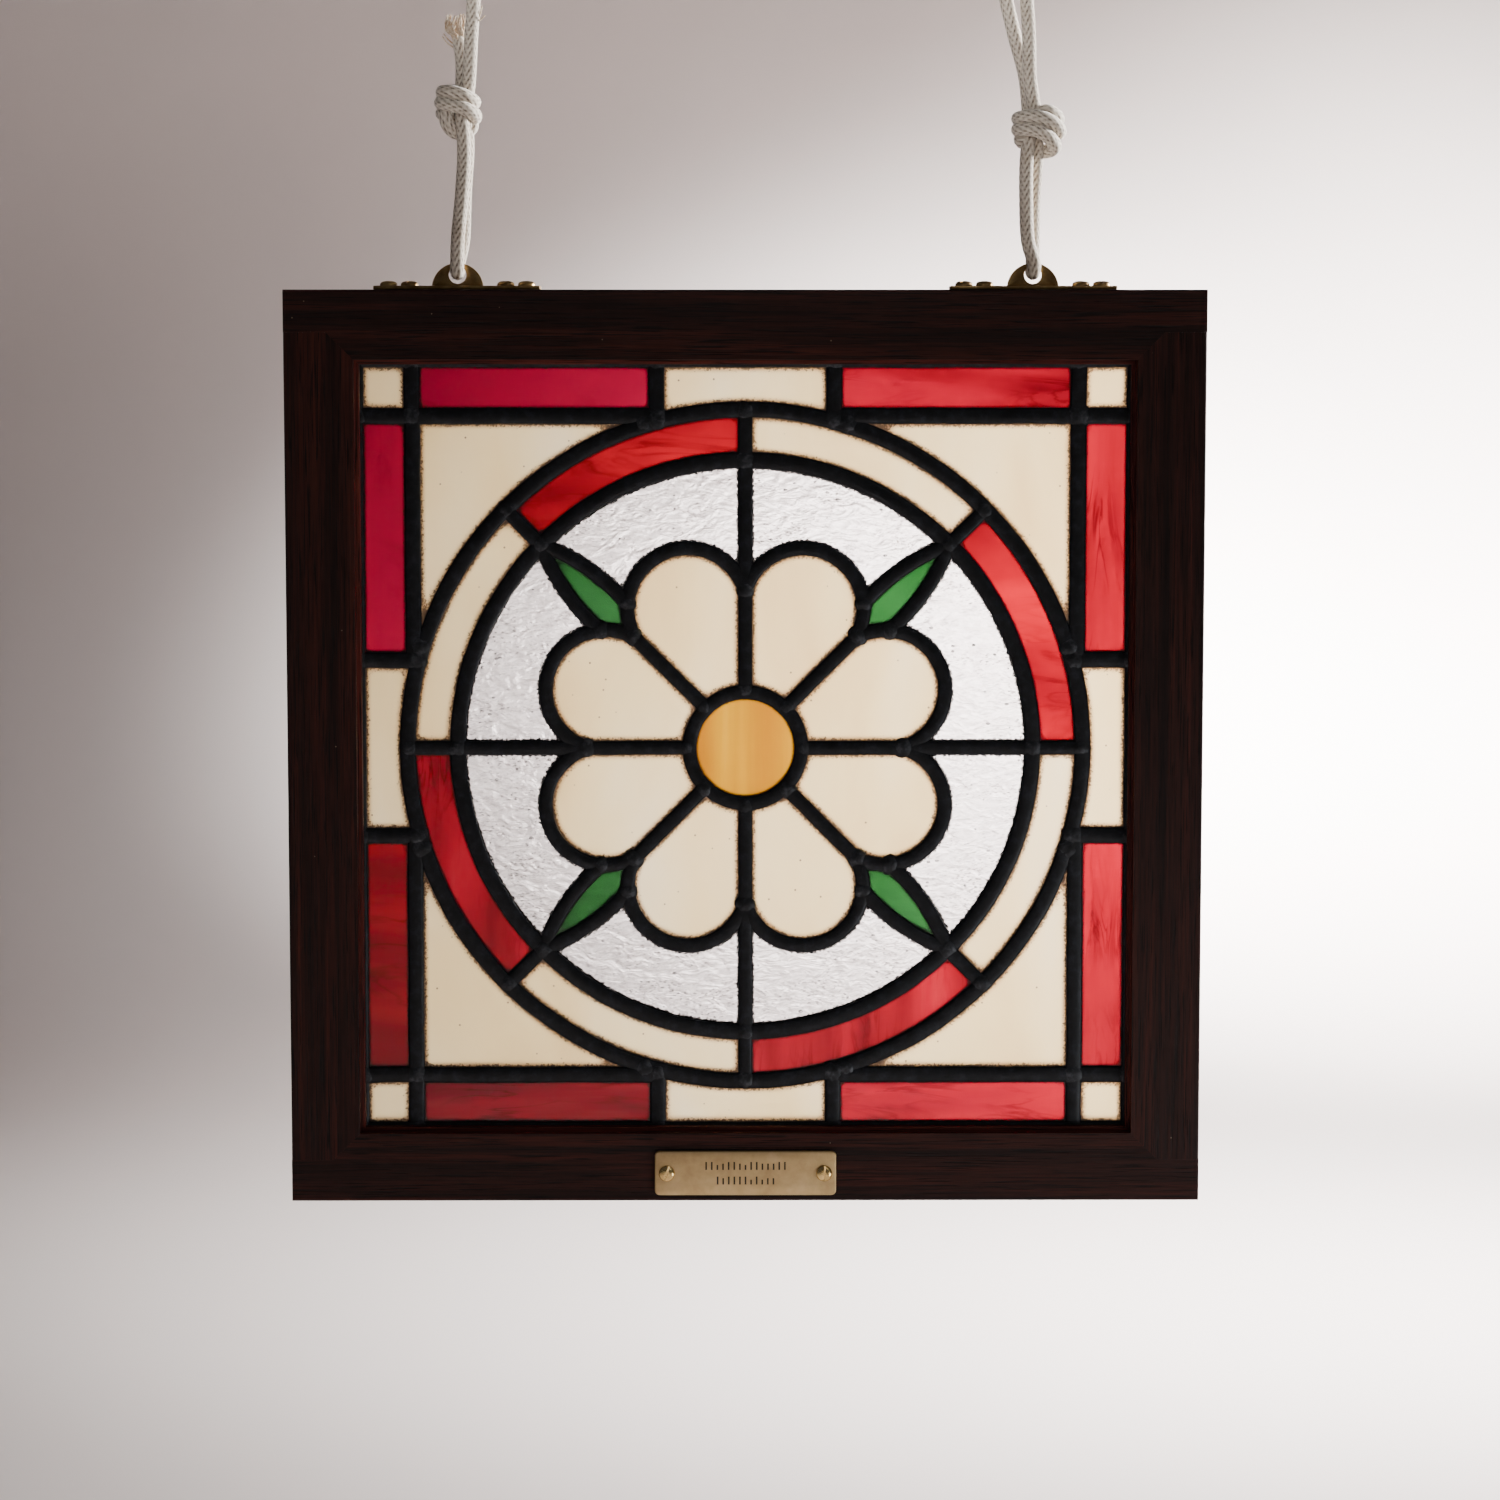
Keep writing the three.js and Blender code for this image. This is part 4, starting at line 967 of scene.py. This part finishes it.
def slotted_screw(bm, place, radius, height, slot_turn):
    """A dome head standing on its place along +Z of the matrix, with a straight slot cut across it."""
    made = bmesh.ops.create_circle(bm, segments=28, radius=radius * MM, cap_ends=True)
    face = made["verts"][0].link_faces[0]
    profile = [(1.0, 0.0), (1.0, 0.3), (0.97, 0.5), (0.86, 0.74), (0.62, 0.92), (0.3, 1.0)]
    grown = list(made["verts"])
    for (r0, h0), (r1, h1) in zip(profile, profile[1:]):
        ext = bmesh.ops.extrude_face_region(bm, geom=[face])
        verts = [g for g in ext["geom"] if isinstance(g, bmesh.types.BMVert)]
        old = face
        face = next(g for g in ext["geom"] if isinstance(g, bmesh.types.BMFace))
        bmesh.ops.delete(bm, geom=[old], context="FACES_ONLY")
        bmesh.ops.scale(bm, vec=(r1 / r0, r1 / r0, 1), verts=verts)
        bmesh.ops.translate(bm, vec=(0, 0, (h1 - h0) * height * MM), verts=verts)
        grown += verts
    half_slot = SLOT_HALF * MM
    region = set(grown)
    for offset in (-half_slot, half_slot):
        geom = [g for g in bm.verts[:] + bm.edges[:] + bm.faces[:]
                if (g in region if isinstance(g, bmesh.types.BMVert) else all(v in region for v in g.verts))]
        cut = bmesh.ops.bisect_plane(bm, geom=geom, dist=1e-7, plane_co=(0, offset, 0), plane_no=(0, 1, 0))
        region |= {g for g in cut["geom_cut"] if isinstance(g, bmesh.types.BMVert)}
    floor_z = height * SLOT_FLOOR * MM
    slot_verts = [v for v in region if abs(v.co.y) <= half_slot * 1.01]
    slot_faces = [f for f in {f for v in slot_verts for f in v.link_faces}
                  if abs(f.calc_center_median().y) < half_slot * 0.98 and all(v in region for v in f.verts)
                  and f.calc_center_median().z > floor_z]
    if slot_faces:
        ext = bmesh.ops.extrude_face_region(bm, geom=slot_faces)
        sunk = [g for g in ext["geom"] if isinstance(g, bmesh.types.BMVert)]
        bmesh.ops.delete(bm, geom=slot_faces, context="FACES_KEEP_BOUNDARY")
        for v in sunk:
            v.co.z = min(v.co.z, floor_z)
        region |= set(sunk)
    turned = place @ Matrix.Rotation(slot_turn, 4, "Z")
    bmesh.ops.transform(bm, matrix=turned, verts=[v for v in region if v.is_valid])


for side, sign, turns in (("left", -1, (0.4, 1.3, 2.2, 0.1)), ("right", 1, (1.0, 0.2, 2.7, 1.7))):
    bm = bmesh.new()
    where = Matrix.Translation(Vector((sign * HANGER_X, 0, STRIP_Z + (STRIP[2] - SEAT) / 2)) * MM)
    strip_size = Vector((STRIP[0], STRIP[1], STRIP[2] + SEAT)) * MM
    strip = bmesh.ops.create_cube(bm, size=1, matrix=where @ Matrix.Diagonal((*strip_size, 1)))
    softened(bm, strip["verts"], 0.3)
    tab_at = Matrix.Translation(Vector((sign * HANGER_X, TAB_THICK / 2, STRIP_Z)) * MM) @ upright
    rim = bmesh.ops.create_circle(bm, segments=64, radius=TAB_RADIUS * MM)["verts"]
    eyelet = bmesh.ops.create_circle(bm, segments=64, radius=TAB_HOLE * MM,
                                     matrix=Matrix.Translation((0, (HOLE_Z - STRIP_Z) * MM, 0)))["verts"]
    for v in rim:
        v.co.y = max(v.co.y, TAB_FOOT * MM)
    loops = [e for e in bm.edges if all(v in rim for v in e.verts) or all(v in eyelet for v in e.verts)]
    made = bmesh.ops.bridge_loops(bm, edges=loops)
    ext = bmesh.ops.extrude_face_region(bm, geom=made["faces"])
    tops = [g for g in ext["geom"] if isinstance(g, bmesh.types.BMVert)]
    bmesh.ops.translate(bm, vec=(0, 0, TAB_THICK * MM), verts=tops)
    tab_verts = list(rim) + list(eyelet) + tops
    bmesh.ops.transform(bm, matrix=tab_at, verts=tab_verts)
    softened(bm, tab_verts, 0.22)
    for offset, turn in zip((-26.6, -18.6, 18.6, 26.6), turns):
        spot = Matrix.Translation(Vector((sign * HANGER_X + offset, 0, STRIP_Z + STRIP[2] - SCREW_SINK)) * MM)
        slotted_screw(bm, spot, 3.35, 1.95, turn)
    bmesh.ops.remove_doubles(bm, verts=bm.verts, dist=1e-6)
    bmesh.ops.recalc_face_normals(bm, faces=bm.faces)
    name = f"brass_hanger_{side}"
    hanger = piece(name, mesh_from(bm, name), shade_darkened_brass, "brass", f"hanger_{side}")
    hanger.data.set_sharp_from_angle(angle=math.radians(35))


# Name plate
# A small satin brass plate with rounded corners, held on the bottom rail by two dome-head slotted screws.
# Two rows of plain upright strokes are cut into its face and filled black.
PLATE = (71.0, 17.5, 1.78)
PLATE_Z = -485.7
PLATE_BACK = -11.02
ROWS = ((2.9, 3.2, 33.0, 15), (-2.9, 3.2, 24.0, 11))
STROKE = 0.62
STROKE_DEPTH = 0.3
PLATE_SCREW_X = 30.8

strokes = []
rng = random.Random(3)
for row_z, tall, wide, count in ROWS:
    for i in range(count):
        x = -wide / 2 + wide * (i + 0.5) / count
        grow = rng.choice((1.0, 1.0, 0.62, 0.8))
        strokes.append((x - STROKE / 2, x + STROKE / 2, row_z - tall / 2, row_z - tall / 2 + tall * grow))
bm = bmesh.new()
bmesh.ops.create_cube(bm, size=1, matrix=Matrix.Diagonal((PLATE[0] * MM, PLATE[2] * MM, PLATE[1] * MM, 1)))
corner_edges = [e for e in bm.edges if abs(e.verts[0].co.y - e.verts[1].co.y) > 1e-4]
bevelled(bm, corner_edges, 2, 6, clamp=False)
rim_edges = [e for e in bm.edges if all(v.co.y < 0 for v in e.verts)]
bevelled(bm, rim_edges, 0.45, 3, clamp=False)
for cuts, axis in ((sorted({s for low, high, _, _ in strokes for s in (low, high)}), 0),
                   (sorted({s for _, _, low, high in strokes for s in (low, high)}), 2)):
    for cut in cuts:
        co, no = [0, 0, 0], [0, 0, 0]
        co[axis], no[axis] = cut * MM, 1
        front = [f for f in bm.faces if f.normal.y < -0.99]
        geom = front + list({e for f in front for e in f.edges}) + list({v for f in front for v in f.verts})
        bmesh.ops.bisect_plane(bm, geom=geom, dist=1e-7, plane_co=co, plane_no=no)
bm.normal_update()
cut_faces = []
for face in bm.faces:
    middle = face.calc_center_median() / MM
    if face.normal.y < -0.99 and any(a < middle.x < b and c < middle.z < d for a, b, c, d in strokes):
        cut_faces.append(face)
ext = bmesh.ops.extrude_face_region(bm, geom=cut_faces)
bmesh.ops.delete(bm, geom=cut_faces, context="FACES_KEEP_BOUNDARY")
sunk = [g for g in ext["geom"] if isinstance(g, bmesh.types.BMVert)]
bmesh.ops.translate(bm, vec=(0, STROKE_DEPTH * MM, 0), verts=sunk)
stroke_floor = (STROKE_DEPTH - 0.02 - PLATE[2] / 2) * MM
for face in bm.faces:
    filled = all(v.co.y > stroke_floor for v in face.verts) and any(v in sunk for v in face.verts)
    face.material_index = 1 if filled else 0
bmesh.ops.translate(bm, vec=Vector((0, PLATE_BACK - PLATE[2] / 2, PLATE_Z)) * MM, verts=bm.verts)
plate_faces = set(bm.faces)
for sign, turn in ((-1, 1.25), (1, 1.45)):
    seat = Vector((sign * PLATE_SCREW_X, PLATE_BACK - PLATE[2] + SCREW_SINK, PLATE_Z)) * MM
    slotted_screw(bm, Matrix.Translation(seat) @ upright, 3.15, 1.6, turn)
for face in bm.faces:
    if face not in plate_faces:
        face.material_index = 2
bmesh.ops.remove_doubles(bm, verts=bm.verts, dist=1e-7)
bmesh.ops.recalc_face_normals(bm, faces=bm.faces)

# The plate's brass is evenly satin, and its screws are brighter where they were turned.
satin_brass = brass("satin_brass", [(0.3, "#b69a6e"), (0.72, "#d4b98a"), (0.5, "#c6aa7b")], 0.46, 0.38)
turned_brass = brass("turned_brass", [(0.3, "#c4a468"), (0.72, "#f0d89c"), (0.5, "#dcbe80")], 0.24, 0.14)
# Black filler: wax in the cut strokes, dull and a little worn.
black_fill, tree, shader = finish("black_wax_fill", Roughness=0.6)
at = add(tree, "TexCoord").outputs["Object"]
worn = add(tree, "TexNoise", {"Vector": at, "Scale": 900.0, "Detail": 3.0}).outputs[0]
soot = add(tree, "ValToRGB", {"Fac": worn}, stops=[(0.35, "#150f0b"), (0.75, "#3c2d20")])
tree.links.new(soot.outputs[0], shader.inputs["Base Color"])
plate_looks = satin_brass, black_fill, turned_brass
plate = piece("brass_name_plate", mesh_from(bm, "brass_name_plate"), plate_looks, "brass", "name_plate")
plate.data.set_sharp_from_angle(angle=math.radians(35))

for scrap in [c for c in bpy.data.curves if not c.users]:
    bpy.data.curves.remove(scrap)
